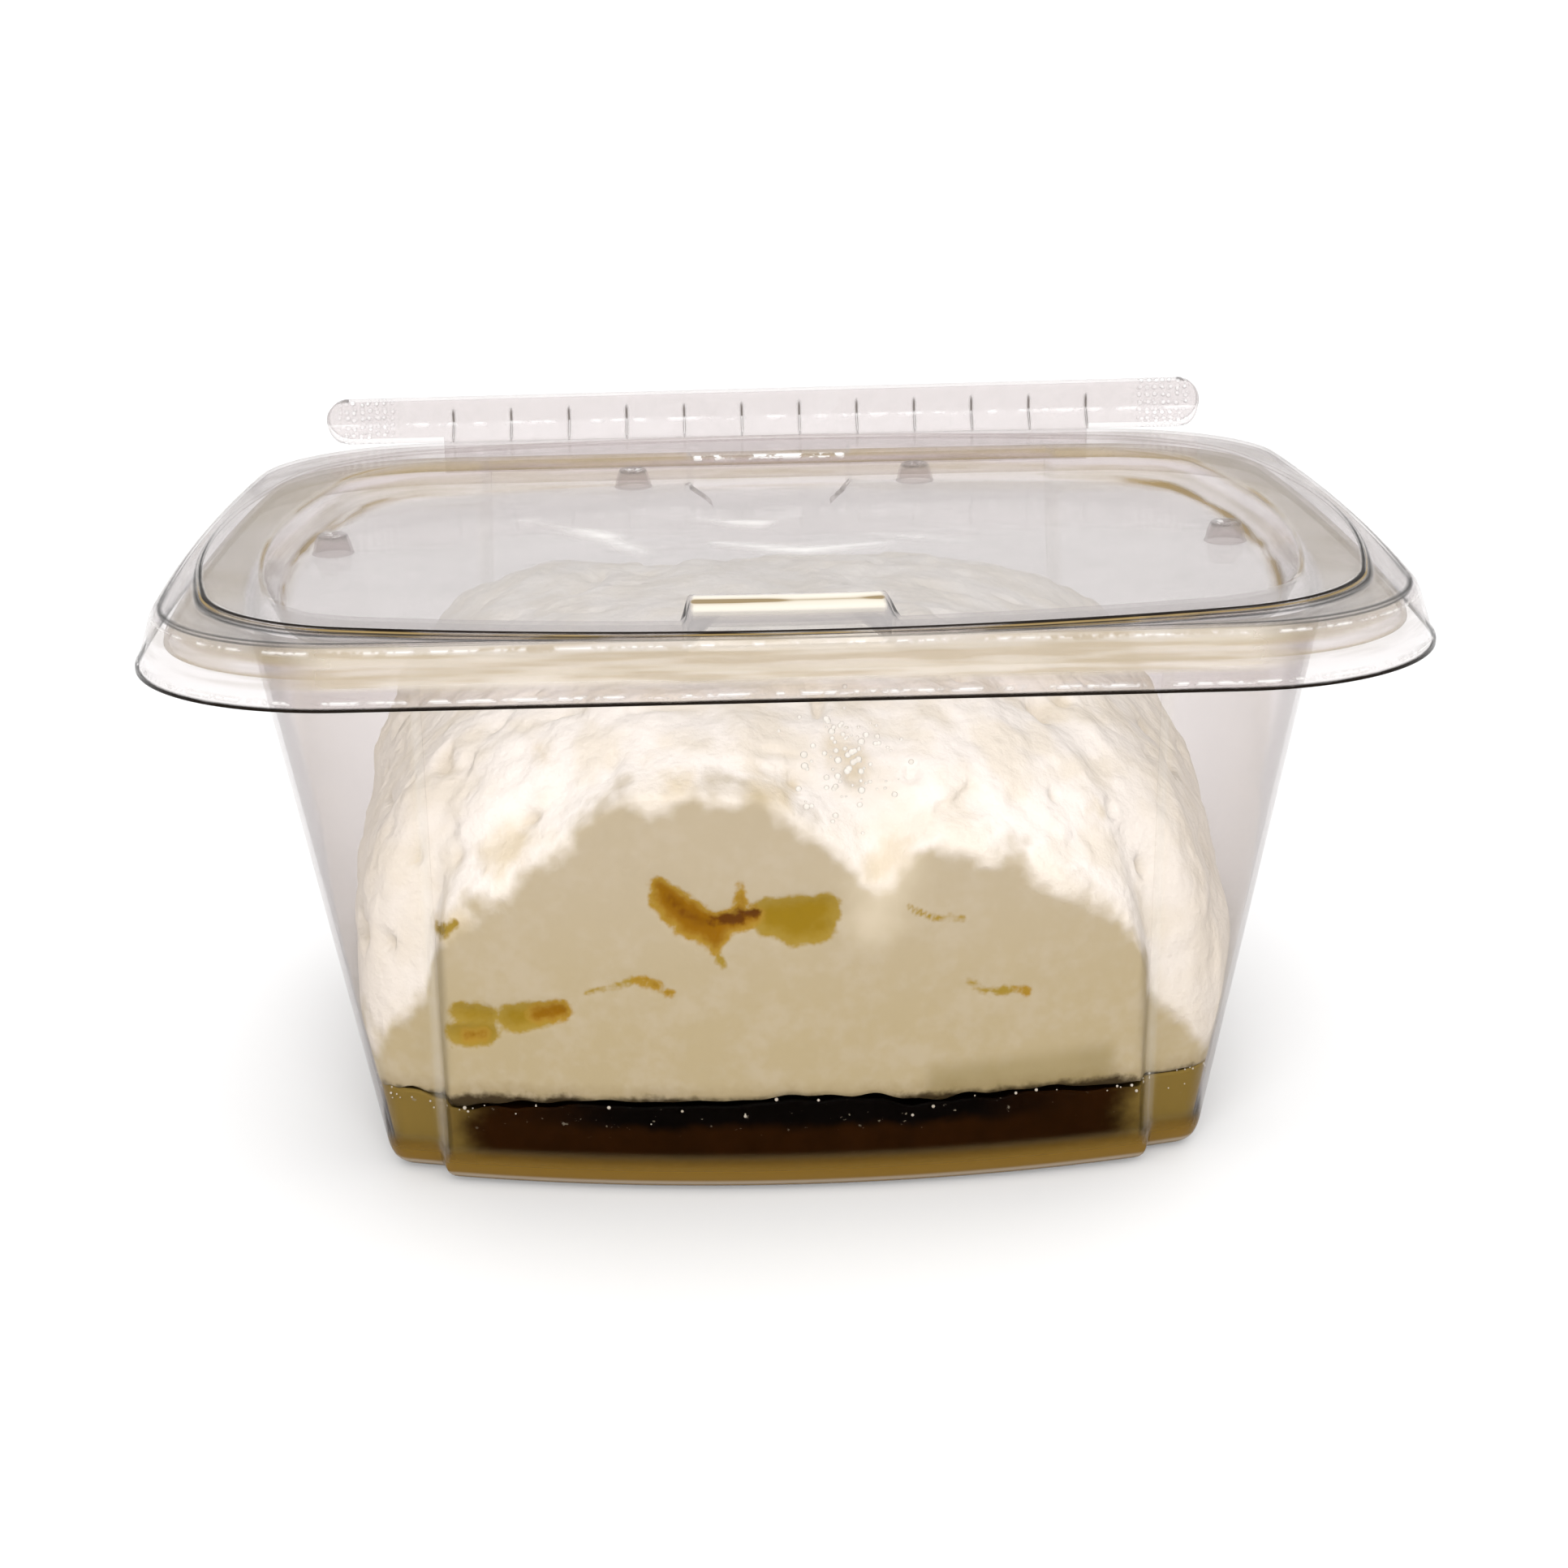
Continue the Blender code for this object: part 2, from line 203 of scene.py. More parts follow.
class Finish:
    """A material made node by node, and put on a piece."""

    def __init__(self, name):
        self.material = bpy.data.materials.new(name)
        self.material.use_nodes = True
        self.tree = self.material.node_tree
        self.tree.nodes.clear()

    def node(self, kind, settings=None, sockets=None, out=0):
        """Adds a node of this kind: its settings first, then the values or fields of its sockets."""
        made = self.tree.nodes.new("ShaderNode" + kind)
        for key, value in (settings or {}).items():
            setattr(made, key, value)
        for key, value in (sockets or {}).items():
            if isinstance(value, Field):
                self.tree.links.new(value.socket, made.inputs[key])
            else:
                made.inputs[key].default_value = value
        return Field(self, made.outputs[out])

    def place(self, stretch=(1.0, 1.0, 1.0)):
        """Object coordinates in metres, stretched along each axis."""
        here = self.node("TexCoord", out=3)
        return self.node("Mapping", {}, {"Vector": here, "Scale": stretch})

    def along(self, axis):
        """The object coordinate along X, Y or Z in mm, for axis 0, 1 or 2."""
        return self.node("SeparateXYZ", {}, {"Vector": self.node("TexCoord", out=3)}, axis) * 1000.0

    def noise(self, size, detail=2.0, stretch=(1.0, 1.0, 1.0)):
        """Noise from 0 to 1 whose lumps are about size mm across."""
        return self.node("TexNoise", {}, {"Vector": self.place(stretch), "Scale": 1000.0 / size,
                                          "Detail": detail, "Roughness": 0.55})

    def mask(self, name):
        """A value that the mesh carries at its points."""
        return self.node("Attribute", {"attribute_name": name}, {}, 2)

    def step(self, value, low, high):
        """A smooth step from 0 at low to 1 at high; it falls instead where low is above high."""
        return self.node("MapRange", {"interpolation_type": "SMOOTHSTEP"},
                         {"Value": value, "From Min": low, "From Max": high})

    def blend(self, share, first, second):
        """The first colour where share is 0, the second where it is 1."""
        return self.node("Mix", {"data_type": "RGBA"}, {0: share, 6: first, 7: second}, 2)

    def coats(self, colour, *layers):
        """A colour with others laid over it in turn, each given as the share it hides and itself."""
        for share, over in layers:
            colour = self.blend(share, colour, over)
        return colour

    def held(self, operation, first, second):
        """The outcome of a Math node, held between 0 and 1."""
        return self.node("Math", {"operation": operation, "use_clamp": True}, {0: first, 1: second})

    def larger(self, first, second):
        """The larger of two numbers."""
        return self.node("Math", {"operation": "MAXIMUM"}, {0: first, 1: second})

    def unsigned(self, value):
        """A number without its sign."""
        return self.node("Math", {"operation": "ABSOLUTE"}, {0: value})

    def bump(self, height, depth):
        """A normal that follows a height field from 0 to 1, depth mm deep."""
        return self.node("Bump", {}, {"Height": height, "Strength": 1.0, "Distance": depth * MM})

    def cover(self, shader, piece, slot):
        """Ends the material at this shader and gives it to the piece."""
        end = self.tree.nodes.new("ShaderNodeOutputMaterial")
        self.tree.links.new(shader.socket, end.inputs["Surface"])
        piece.data.materials.append(self.material)


def clear_sheet(finish, veil, veil_colour, wobble, shine=1.0):
    """Thin clear sheet: what is behind it, a mirror that grows towards grazing, and a veil.

    The mirror's share is shine times 0.5 times the fourth power of how far the surface turns away,
    less 0.004 and never below 0. The veil is the share that haze, marks, painted shade along folds
    and painted highlights hide, in their own colour. Lamps shine through.
    """
    facing = finish.node("LayerWeight", {}, {"Blend": 0.5}, 1)
    mirror = finish.held("SUBTRACT", 0.5 * facing ** 4.0, 0.004) * shine
    hidden = finish.held("ADD", veil, mirror * (1.0 - veil))
    share = finish.held("DIVIDE", veil, hidden + 0.0001)
    body = finish.node("BsdfPrincipled", {}, {
        "Base Color": finish.blend(share, SHEEN, veil_colour),
        "Metallic": 1.0 - share, "Roughness": 0.08, "IOR": 1.5, "Specular IOR Level": 0.05,
        "Normal": wobble})
    through = finish.node("BsdfTransparent", {}, {"Color": CLEAR_TINT})
    seen = finish.node("MixShader", {}, {0: hidden, 1: through, 2: body})
    lets_lamps_in = finish.node("BsdfTransparent", {}, {"Color": LAMP_TINT})
    return finish.node("MixShader", {}, {0: finish.node("LightPath", out=1), 1: seen, 2: lets_lamps_in})


FLOOR_RINGS = 16
edge_columns = np.concatenate([np.linspace(PANEL_EDGE + 1.4, PANEL_EDGE - 4.4, 30)[:-1],
                               np.linspace(PANEL_EDGE - 4.4, 0.0, 32)])
TUB_COLUMNS = (26, 22, 6, edge_columns)
wall = profile([(0.0, 2.4, 3), (0.35, 1.1, 3), (1.1, 0.3, 3), (2.4, 0.0, 4), (5.0, 0.0, 24),
                (67.6, 0.0, 4), (68.3, 0.0, 2), (68.8, -0.4, 1)], 1)
wall_x, wall_y = tub_rings(wall[:, 0], wall[:, 1], TUB_COLUMNS)
lip = profile([(68.8, 2.6, 2), (68.75, 2.1, 2), (68.3, 1.8, 4), (67.2, 1.6, 1)], 1)
lip_x, lip_y = whole_rings(*ring_quarter(LID_SHOULDER, lip[:, 1], *TUB_COLUMNS))
floor_share = np.linspace(0.04, 0.97, FLOOR_RINGS)[:, None]
tub_x = np.concatenate([wall_x[:1] * floor_share, wall_x, lip_x])
tub_y = np.concatenate([wall_y[:1] * floor_share, wall_y, lip_y])
tub_z = np.concatenate([np.zeros(FLOOR_RINGS), wall[:, 0], lip[:, 0]])[:, None]
# Painted marks: darker lines along the folds of the flange and the lip are painted shade, and pale lines
# along the panels' upright edges are painted highlights.
LIP_END = 67.2
tub_fold_shade = np.exp(-((tub_z - WALL_TOP) / 0.25)**2) * 0.3 + np.exp(-((tub_z - LIP_END) / 0.25)**2) * 0.4
panel_line = np.exp(-((np.abs(tub_x) - PANEL_EDGE + PANEL_LEAN * tub_z / WALL_TOP) / 0.7)**2)
panel_line = panel_line * eased(np.abs(tub_y), 38.0, 42.0)
panel_line = panel_line * eased(tub_z, 3.0, 5.0) * (1.0 - eased(tub_z, 62.0, 66.0))
tub = closed_belt("tub_shell", tub_x, tub_y, tub_z, {"fold": tub_fold_shade, "panel_line": panel_line},
                  first_pole=(0.0, 0.0, 0.0))
give_thickness(tub, TUB_SHEET)

tub_finish = Finish("clear_tub_sheet")
height = tub_finish.along(2)
foot_band = tub_finish.step(height, 5.4, 1.9) * tub_finish.step(height, -0.2, 0.4)
foot_glint = tub_finish.step(height, 0.7, 1.1) * tub_finish.step(height, 1.7, 1.2)
streaks = tub_finish.noise(1.6, 2.0, (0.07, 0.07, 1.0))
mouth_band = tub_finish.step(height, 62.5, 65.5) * tub_finish.step(streaks, 0.48, 0.64)
panel_line_glint = tub_finish.mask("panel_line") * 0.16
tub_veil = tub_finish.larger(foot_band * 0.93, mouth_band * 0.15 + tub_finish.mask("fold") + panel_line_glint)
tub_haze_shade_and_glint = tub_finish.blend(tub_finish.step(height, 4.0, 6.0), FOOT_HAZE, STREAK_HAZE_AND_FOLD_SHADE)
# Painted highlights: pale glints near the foot and pale lines along the panels' upright edges.
tub_haze_shade_and_glint = tub_finish.blend(foot_glint * 0.2 + panel_line_glint * 5.0, tub_haze_shade_and_glint, (0.9, 0.88, 0.84, 1.0))
tub_wobble = tub_finish.bump(streaks, 0.02)
tub_shine = (1.0 - tub_finish.mask("panel_line") * 0.9) * (1.0 - foot_band * 0.85)
tub_finish.cover(clear_sheet(tub_finish, tub_veil, tub_haze_shade_and_glint, tub_wobble, tub_shine), tub, "tub_plastic")
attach(tub, "base")
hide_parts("tub")

# Whey: the thin layer of liquid that drains from the curd and stands on the tub's floor. Its colour is
# painted near black, a painted shade under the overhanging curd, and olive towards the corners.
# It fills the foot of the tub to a wavy line where it meets the cheese, and small bubbles cling there.
FOOD_INSET = 0.9
WHEY_FLOOR = 0.9
WHEY_REST = 11.0
BUBBLES = 150


def whey_line(x, y):
    """Height of the whey against the wall: its rest level, a hump in the front's middle, and waves.

    The hump is 0.9 mm times e to the minus square of (x / 26 mm), and the waves are four sines.
    """
    middle = 0.9 * np.exp(-(x / 26.0)**2) * (y < 0.0)
    waves = 0.3 * np.sin(x / 4.3 + 1.0) + 0.16 * np.sin(x / 1.7 + 0.2 * y) + 0.12 * np.sin(x / 0.83 - 0.3 * y)
    return WHEY_REST + middle + waves * (1.0 + 0.6 * np.sin(x / 9.0)) + 0.25 * np.sin(y / 3.1)


base_rows = profile([(WHEY_FLOOR, 2.4, 3), (1.8, 0.7, 3), (3.1, 0.0, 1)], 0)
base_x, base_y = tub_rings(base_rows[:, 0], base_rows[:, 1] + FOOD_INSET, TUB_COLUMNS)
rim_x, rim_y = tub_rings([WHEY_REST], [FOOD_INSET], TUB_COLUMNS)
rise = np.linspace(0.0, 1.0, 15)[1:, None]
side_x = base_x[-1:] + (rim_x - base_x[-1:]) * rise
side_y = base_y[-1:] + (rim_y - base_y[-1:]) * rise
side_foot = base_rows[-1, 0]
side_z = side_foot + (whey_line(rim_x, rim_y) - side_foot) * rise
UNDER_RINGS = 12
inwards = np.linspace(0.99, 0.05, 20)[:, None]
under = np.linspace(0.97, 0.05, UNDER_RINGS)[:, None]
whey_x = np.concatenate([base_x[:1] * under[::-1], base_x, side_x, rim_x * inwards])
whey_y = np.concatenate([base_y[:1] * under[::-1], base_y, side_y, rim_y * inwards])
whey_z = np.concatenate([np.full((UNDER_RINGS, base_x.shape[1]), WHEY_FLOOR),
                         np.broadcast_to(base_rows[:, :1], base_x.shape), side_z,
                         side_z[-1:] - 0.25 * np.ones_like(inwards)])
whey = closed_belt("whey_layer", whey_x, whey_y, whey_z, {},
                   (0.0, 0.0, WHEY_FLOOR), (0.0, 0.0, 10.4))

whey_finish = Finish("whey_with_painted_shade")
height = whey_finish.along(2)
sideways = whey_finish.unsigned(whey_finish.along(0))
ragged = whey_finish.noise(4.0, 4.0) * 3.0 - 1.5
# Painted shade: nearly black across the middle of the front, where the curd above shades the whey.
shade_core = whey_finish.step(height + ragged, 7.6, 9.2) * whey_finish.step(sideways + ragged * 3.0, 36.0, 20.0)
shallow = whey_finish.step(sideways + ragged * 2.0, 36.0, 44.0)
fleck = whey_finish.step(whey_finish.noise(0.9, 2.0), 0.68, 0.76) * whey_finish.step(height, 6.5, 9.5)
whey_and_shade_colour = whey_finish.coats(
    (0.008, 0.003, 0.0006, 1.0),
    (whey_finish.noise(6.0, 3.0), (0.028, 0.009, 0.0015, 1.0)),
    (shallow * 0.9, (0.24, 0.165, 0.04, 1.0)),
    (shade_core, (0.002, 0.0014, 0.001, 1.0)),
    (fleck * 0.5, (0.30, 0.27, 0.2, 1.0)))
whey_finish.cover(whey_finish.node("BsdfPrincipled", {}, {
    "Base Color": whey_and_shade_colour, "Roughness": 0.3, "IOR": 1.34, "Specular IOR Level": 0.02,
    "Normal": whey_finish.bump(whey_finish.noise(5.0, 2.0), 0.2)}), whey, "whey")
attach(whey, "base")
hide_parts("whey")


def beads(name, centres, radii, squash):
    """Many small balls in one mesh: an eight-by-five ball at each centre, flattened along Y."""
    turn, tilt = np.meshgrid(np.arange(8) * np.pi / 4.0, np.arange(1, 5) * np.pi / 5.0)
    belt = np.stack([np.sin(tilt) * np.cos(turn), np.sin(tilt) * np.sin(turn), -np.cos(tilt)], axis=-1)
    ball = np.concatenate([belt.reshape(-1, 3), [(0.0, 0.0, -1.0), (0.0, 0.0, 1.0)]]) * (1.0, squash, 1.0)
    number = np.arange(32).reshape(4, 8)
    beside = np.roll(number, -1, axis=1)
    quads = np.stack([number[:-1], beside[:-1], beside[1:], number[1:]], axis=-1).reshape(-1, 4)
    lower = np.stack([np.full(8, 32), beside[0], number[0]], axis=-1)
    upper = np.stack([np.full(8, 33), number[-1], beside[-1]], axis=-1)
    shift = (np.arange(len(centres)) * len(ball))[:, None, None]
    points = centres[:, None, :] + ball[None] * radii[:, None, None]
    faces = (quads + shift).reshape(-1, 4).tolist()
    faces += (np.concatenate([lower, upper]) + shift).reshape(-1, 3).tolist()
    mesh = bpy.data.meshes.new(name)
    mesh.from_pydata((points.reshape(-1, 3) * MM).tolist(), [], faces)
    return smooth_piece(name, mesh)


chance = np.random.default_rng(11)
around = chance.choice(rim_x.shape[1], BUBBLES)
bubble_radii = 0.09 + 0.16 * chance.random(BUBBLES)**3
bubble_x, bubble_y = rim_x[0, around], rim_y[0, around]
bubble_z = whey_line(bubble_x, bubble_y) + 0.2 - 2.6 * chance.random(BUBBLES)**2
nearer = 1.0 - (bubble_radii * 0.3) / np.hypot(bubble_x, bubble_y)
bubbles = beads("whey_bubbles", np.stack([bubble_x * nearer, bubble_y * nearer, bubble_z], axis=-1),
                bubble_radii, 0.6)
bubble_finish = Finish("whey_bubble_skin")
bubble_colour = bubble_finish.blend(bubble_finish.noise(2.0), (0.75, 0.72, 0.64, 1.0), (0.35, 0.3, 0.2, 1.0))
bubble_finish.cover(bubble_finish.node("BsdfPrincipled", {}, {
    "Base Color": bubble_colour, "Roughness": 0.15, "IOR": 1.34}), bubbles, "whey")
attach(bubbles, "base")

# Ricotta: soft, moist curd ladled into the tub. It presses flat against the walls, where it is greyish tan,
# partly its own wet tone and partly painted shade, and amber whey is caught in ragged pockets and cracks;
# above that it stands free as a lumpy mound.
RICOTTA_TOP = 62.4
RICOTTA_COLUMNS = (30, 20, 6, np.concatenate([np.linspace(PANEL_EDGE + 0.6, PANEL_EDGE - 3.6, 16)[:-1],
                                             np.linspace(PANEL_EDGE - 3.6, 0.0, 80)]))
# The upper edge of the curd that touches the front wall, as x and height in mm from left to right.
CONTACT_FRONT_X = (-52.0, -43.5, -40.0, -32.0, -25.0, -18.6, -10.0, -2.5,
                   5.5, 9.6, 12.5, 16.4, 29.5, 38.5, 42.0, 52.0)
CONTACT_FRONT_Z = (17.0, 23.0, 34.0, 39.5, 45.6, 50.8, 50.6, 50.0,
                   43.0, 37.0, 41.0, 44.7, 39.8, 33.0, 22.0, 15.0)
HOLLOW_ROWS, WALL_ROWS, DOME_ROWS = 8, 46, 78
LOW_LEVEL, HIGH_LEVEL = 10.0, 60.0
# Each pocket of whey runs from one point of the front (x, z, half its width there) to the next.
AMBER_POCKETS = (
    (-15.4, 40.4, 0.9, -14.2, 38.4, 1.9), (-14.2, 38.4, 1.9, -11.8, 36.0, 2.2),
    (-11.8, 36.0, 2.2, -9.4, 34.6, 2.0), (-9.4, 34.6, 2.0, -9.2, 31.9, 0.5),
    (-9.4, 35.2, 1.7, -4.8, 36.3, 1.3), (-6.2, 37.2, 0.9, -6.1, 40.3, 0.2),
    (-18.3, 28.2, 0.3, -17.2, 28.0, 0.5), (-17.2, 28.0, 0.5, -14.2, 26.4, 0.35),
    (-30.2, 23.6, 1.2, -27.4, 24.0, 1.4), (-38.6, 20.2, 0.9, -36.8, 20.4, 0.9),
    (25.6, 25.3, 0.4, 26.4, 25.2, 0.5))
OLIVE_POCKETS = (
    (-2.8, 36.2, 2.3, 0.6, 35.7, 3.1), (0.6, 35.7, 3.1, 3.2, 37.0, 1.9),
    (-0.2, 34.0, 1.6, 2.8, 34.8, 1.8), (-9.2, 31.9, 0.4, -8.0, 29.6, 0.1),
    (-24.0, 26.6, 0.1, -18.3, 28.2, 0.28), (-38.8, 23.4, 1.3, -36.0, 23.2, 1.4),
    (-39.2, 20.4, 1.6, -36.4, 20.8, 1.8), (-35.6, 22.4, 0.3, -34.0, 22.9, 0.3),
    (-32.6, 23.0, 1.9, -29.2, 23.6, 1.6), (13.0, 36.7, 0.1, 15.9, 35.3, 0.25),
    (15.9, 35.3, 0.25, 19.0, 35.0, 0.08), (19.8, 27.0, 0.15, 21.6, 25.5, 0.35),
    (21.6, 25.5, 0.25, 25.6, 25.3, 0.25), (-40.8, 33.4, 0.6, -38.6, 35.2, 0.35))
# Damp patches show as a faint tan through the curd; the valley between the two mounds is paler.
DAMP_PATCHES = (
    (-35.0, 42.6, 1.4, -32.0, 44.2, 1.8), (-40.6, 33.8, 1.2, -38.4, 35.4, 1.2),
    (-35.6, 53.6, 0.8, -34.6, 53.4, 0.8), (-29.4, 53.8, 0.9, -28.2, 53.6, 0.8),
    (-13.4, 52.0, 0.7, -11.8, 52.3, 0.7), (-4.2, 51.6, 1.0, -1.2, 50.6, 1.0),
    (29.4, 58.0, 0.9, 31.2, 57.6, 0.8), (4.6, 54.6, 1.0, 7.0, 52.6, 1.4),
    (35.2, 45.8, 0.7, 36.0, 44.6, 0.7), (12.0, 43.2, 1.2, 9.4, 41.4, 1.5))
VALLEY = ((10.4, 42.0, 2.4, 9.2, 36.0, 1.2),)
# How far outside every pocket, in mm, a place counts that is nowhere near one.
NO_POCKET = 9.0
DARK_STREAKS = ((-9.4, 35.6, 0.5, -6.6, 36.2, 0.9), (-6.6, 36.2, 0.9, -4.4, 36.8, 0.6))


def lattice_noise(points, size, seed):
    """Values from -1 to 1: random numbers on a lattice, smoothly blended between its eight corners."""
    lattice = np.random.default_rng(seed).uniform(-1.0, 1.0, (31, 31, 31))
    place = points / size + 200.0
    cell = np.floor(place).astype(int)
    part = place - cell
    part = part * part * (3.0 - 2.0 * part)
    total = np.zeros(points.shape[:-1])
    for corner in np.ndindex(2, 2, 2):
        near = np.prod(np.where(corner, part, 1.0 - part), axis=-1)
        at = (cell + corner) % 31
        total = total + near * lattice[at[..., 0], at[..., 1], at[..., 2]]
    return total


def contact_line(x, y):
    """Height up to which the curd presses on the wall, at each place around it.

    The front follows the line read from the photo, the back two sine waves about 40 mm, and the sides
    one about 22 mm. A smooth step of the distance from the middle, along Y, blends sides and ends.
    """
    front = np.interp(x, CONTACT_FRONT_X, CONTACT_FRONT_Z)
    back = 40.0 + 5.0 * np.sin(x / 14.0) + 2.0 * np.sin(x / 6.0 + 1.0)
    side = 22.0 + 2.0 * np.sin(y / 9.0) + x / 20.0
    share = eased(np.abs(y), 31.0, 42.0)
    return side + (np.where(y < 0.0, front, back) - side) * share


def pocket_depth(pockets, x, z):
    """How far inside the nearest pocket a place is, in mm, and below 0 outside.

    Each pocket is a run of circles: the half width at the nearest point of its line, less the
    distance to that point.
    """
    depth = np.full(x.shape, -NO_POCKET)
    for start_x, start_z, start_half, end_x, end_z, end_half in pockets:
        run_x, run_z = end_x - start_x, end_z - start_z
        share = np.clip(((x - start_x) * run_x + (z - start_z) * run_z) / (run_x**2 + run_z**2), 0.0, 1.0)
        away = np.hypot(x - start_x - share * run_x, z - start_z - share * run_z)
        depth = np.maximum(depth, start_half + (end_half - start_half) * share - away)
    return depth


def softened(line, passes):
    """A closed line of heights, each averaged with its neighbours so many times."""
    for _ in range(passes):
        line = 0.25 * np.roll(line, 1) + 0.5 * line + 0.25 * np.roll(line, -1)
    return line


edge_x, edge_y = tub_rings([40.0], [FOOD_INSET], RICOTTA_COLUMNS)
edge_turn = np.arctan2(edge_y, edge_x)
# The line where the curd leaves the wall, first as ragged as it is and then calm, for the dome.
soft_line = softened(contact_line(edge_x[0], edge_y[0]), 10)[None, :]
calm_line = softened(soft_line[0], 900)[None, :]
low_line = whey_line(edge_x, edge_y) + 0.3
wall_share = np.linspace(0.0, 1.0, WALL_ROWS)[:, None]
press_z = low_line + (soft_line - low_line) * wall_share


def inside_wall(z, panel):
    """Rings just inside the wall at these heights, on the straight lines between two levels."""
    low, high = [tub_rings([level], [FOOD_INSET], RICOTTA_COLUMNS, panel)
                 for level in (LOW_LEVEL, HIGH_LEVEL)]
    lean = (z - LOW_LEVEL) / (HIGH_LEVEL - LOW_LEVEL)
    return low[0] + (high[0] - low[0]) * lean, low[1] + (high[1] - low[1]) * lean


press_x, press_y = inside_wall(press_z, PANEL_STEP)
# Above the wall's part the curd draws in from the panels and rounds over towards the top.
climb = np.sin(np.linspace(0.0, 1.0, DOME_ROWS + 2)[1:-1, None] * np.pi / 2.0)**1.15
roundness = 2.65 - 0.35 * np.cos(edge_turn)
width = (1.0 - climb**roundness)**(1.0 / roundness) - 0.006 * np.sin(np.pi * climb)
dome_line = soft_line + (calm_line - soft_line) * eased(climb, 0.0, 0.6)
dome_z = dome_line + (RICOTTA_TOP - dome_line) * climb
hollow = np.linspace(0.05, 0.985, HOLLOW_ROWS)[:, None]
plain_x, plain_y = inside_wall(calm_line, 0.0)
freed = eased(climb, 0.0, 0.35)
dome_x = (press_x[-1:] + (plain_x - press_x[-1:]) * freed) * width
dome_y = (press_y[-1:] + (plain_y - press_y[-1:]) * freed) * width
mound_x = np.concatenate([press_x[:1] * hollow, press_x, dome_x])
mound_y = np.concatenate([press_y[:1] * hollow, press_y, dome_y])
mound_z = np.concatenate([low_line + 0.0 * hollow, press_z, dome_z])
places = np.stack([mound_x, mound_y, mound_z], axis=-1)
pressed_rows = np.zeros((HOLLOW_ROWS + WALL_ROWS, mound_x.shape[1]))
lumps = (0.8 * lattice_noise(places, 10.0, 1) + 0.5 * lattice_noise(places, 5.2, 2)
         + 0.35 * lattice_noise(places, 2.6, 3) + 0.18 * lattice_noise(places, 1.4, 4))
pits = -1.2 * eased(lattice_noise(places, 3.4, 5), 0.42, 0.85)
free = np.concatenate([pressed_rows, (1.0 - width) * np.hypot(press_x[-1:], press_y[-1:])
                       + 0.08 * (dome_z - soft_line)])
outwards = np.minimum(lumps + pits - 0.25, 0.75 * free) * eased(free, 0.02, 1.6)
steepness = np.concatenate([pressed_rows[:, :1], climb])
level = np.sqrt(np.clip(1.0 - steepness**2, 0.0, 1.0))
from_middle = np.hypot(mound_x, mound_y) + 0.001
on_front = eased(-mound_y, 30.0, 44.0)
amber_depth, olive_depth, streak_depth, damp_depth, valley_depth = [
    pocket_depth(pockets, mound_x, mound_z) - NO_POCKET * (1.0 - on_front)
    for pockets in (AMBER_POCKETS, OLIVE_POCKETS, DARK_STREAKS, DAMP_PATCHES, VALLEY)]
sunk = 0.5 * eased(np.maximum(amber_depth, olive_depth), -0.2, 1.0)
outwards = outwards - sunk
mound_x = mound_x + outwards * level * mound_x / from_middle
mound_y = mound_y + outwards * level * mound_y / from_middle
mound_z = mound_z + outwards * steepness
above = np.concatenate([low_line - soft_line + 0.0 * hollow, press_z - soft_line,
                        dome_z - soft_line + 0.5 * (1.0 - width) * np.hypot(press_x[-1:], press_y[-1:])])
wedge = (eased(mound_x, 14.2, 16.2) * eased(-mound_x, -38.5, -36.0) * on_front
         * (1.0 - eased(mound_z - 0.06 * (mound_x - 15.0), 14.0, 17.2)))
mound = closed_belt("ricotta_mound", mound_x, mound_y, mound_z,
                    {"above": above, "pit": eased(-outwards - 2.0 * sunk, 0.8, 2.0), "amber": amber_depth,
                     "olive": olive_depth, "streak": streak_depth, "wedge": wedge, "damp": damp_depth,
                     "valley": valley_depth},
                    (0.0, 0.0, 11.5), (0.0, 0.0, float(mound_z[-1].mean())))

curd_finish = Finish("moist_ricotta")
height = curd_finish.along(2)
fine = curd_finish.noise(1.5, 3.0)
broad = curd_finish.noise(7.0, 2.0)
touch_field = curd_finish.step(curd_finish.mask("above") + broad * 12.0 + fine * 1.6, 9.3, 4.7)
sideways = curd_finish.unsigned(curd_finish.along(0))
# Painted shade: the curd darkens towards the sides of the mound.
side_shade = curd_finish.step(sideways, 30.0, 54.0)
curd_white_side_shaded = curd_finish.coats(
    (0.89, 0.84, 0.73, 1.0),
    (curd_finish.step(broad, 0.66, 0.4), (0.965, 0.935, 0.87, 1.0)),
    (side_shade * 0.75, (0.66, 0.61, 0.52, 1.0)))
valley_field = curd_finish.step(curd_finish.mask("valley") + broad * 6.0, -1.6, 5.4)
near_whey = height + fine * 1.8 - broad * 1.6 + curd_finish.step(sideways, 37.0, 43.0) * 1.2
# Painted shade: the pressed curd darkens towards the bottom and turns near black just above the whey.
pressed_and_shaded = curd_finish.coats(
    (0.50, 0.435, 0.30, 1.0),
    (curd_finish.step(height, 46.0, 18.0), (0.475, 0.40, 0.235, 1.0)),
    (curd_finish.step(fine * 0.5 + broad * 0.8, 0.55, 0.85) * 0.35, (0.56, 0.50, 0.385, 1.0)),
    (curd_finish.mask("wedge") * (broad * 0.6 + 0.4), (0.31, 0.25, 0.11, 1.0)),
    (valley_field, (0.68, 0.61, 0.45, 1.0)),
    (curd_finish.step(near_whey, 15.0, 12.0) * 0.4, (0.20, 0.14, 0.05, 1.0)),
    (curd_finish.step(near_whey, 13.1, 11.9) * 0.95, (0.03, 0.018, 0.005, 1.0)))
damp_field = curd_finish.step(curd_finish.mask("damp") + broad * 2.0 + fine * 2.0, 0.6, 3.2)
ragged_edge = curd_finish.noise(1.3, 3.0) * 1.6 - 0.8
olive_field = curd_finish.mask("olive") + ragged_edge
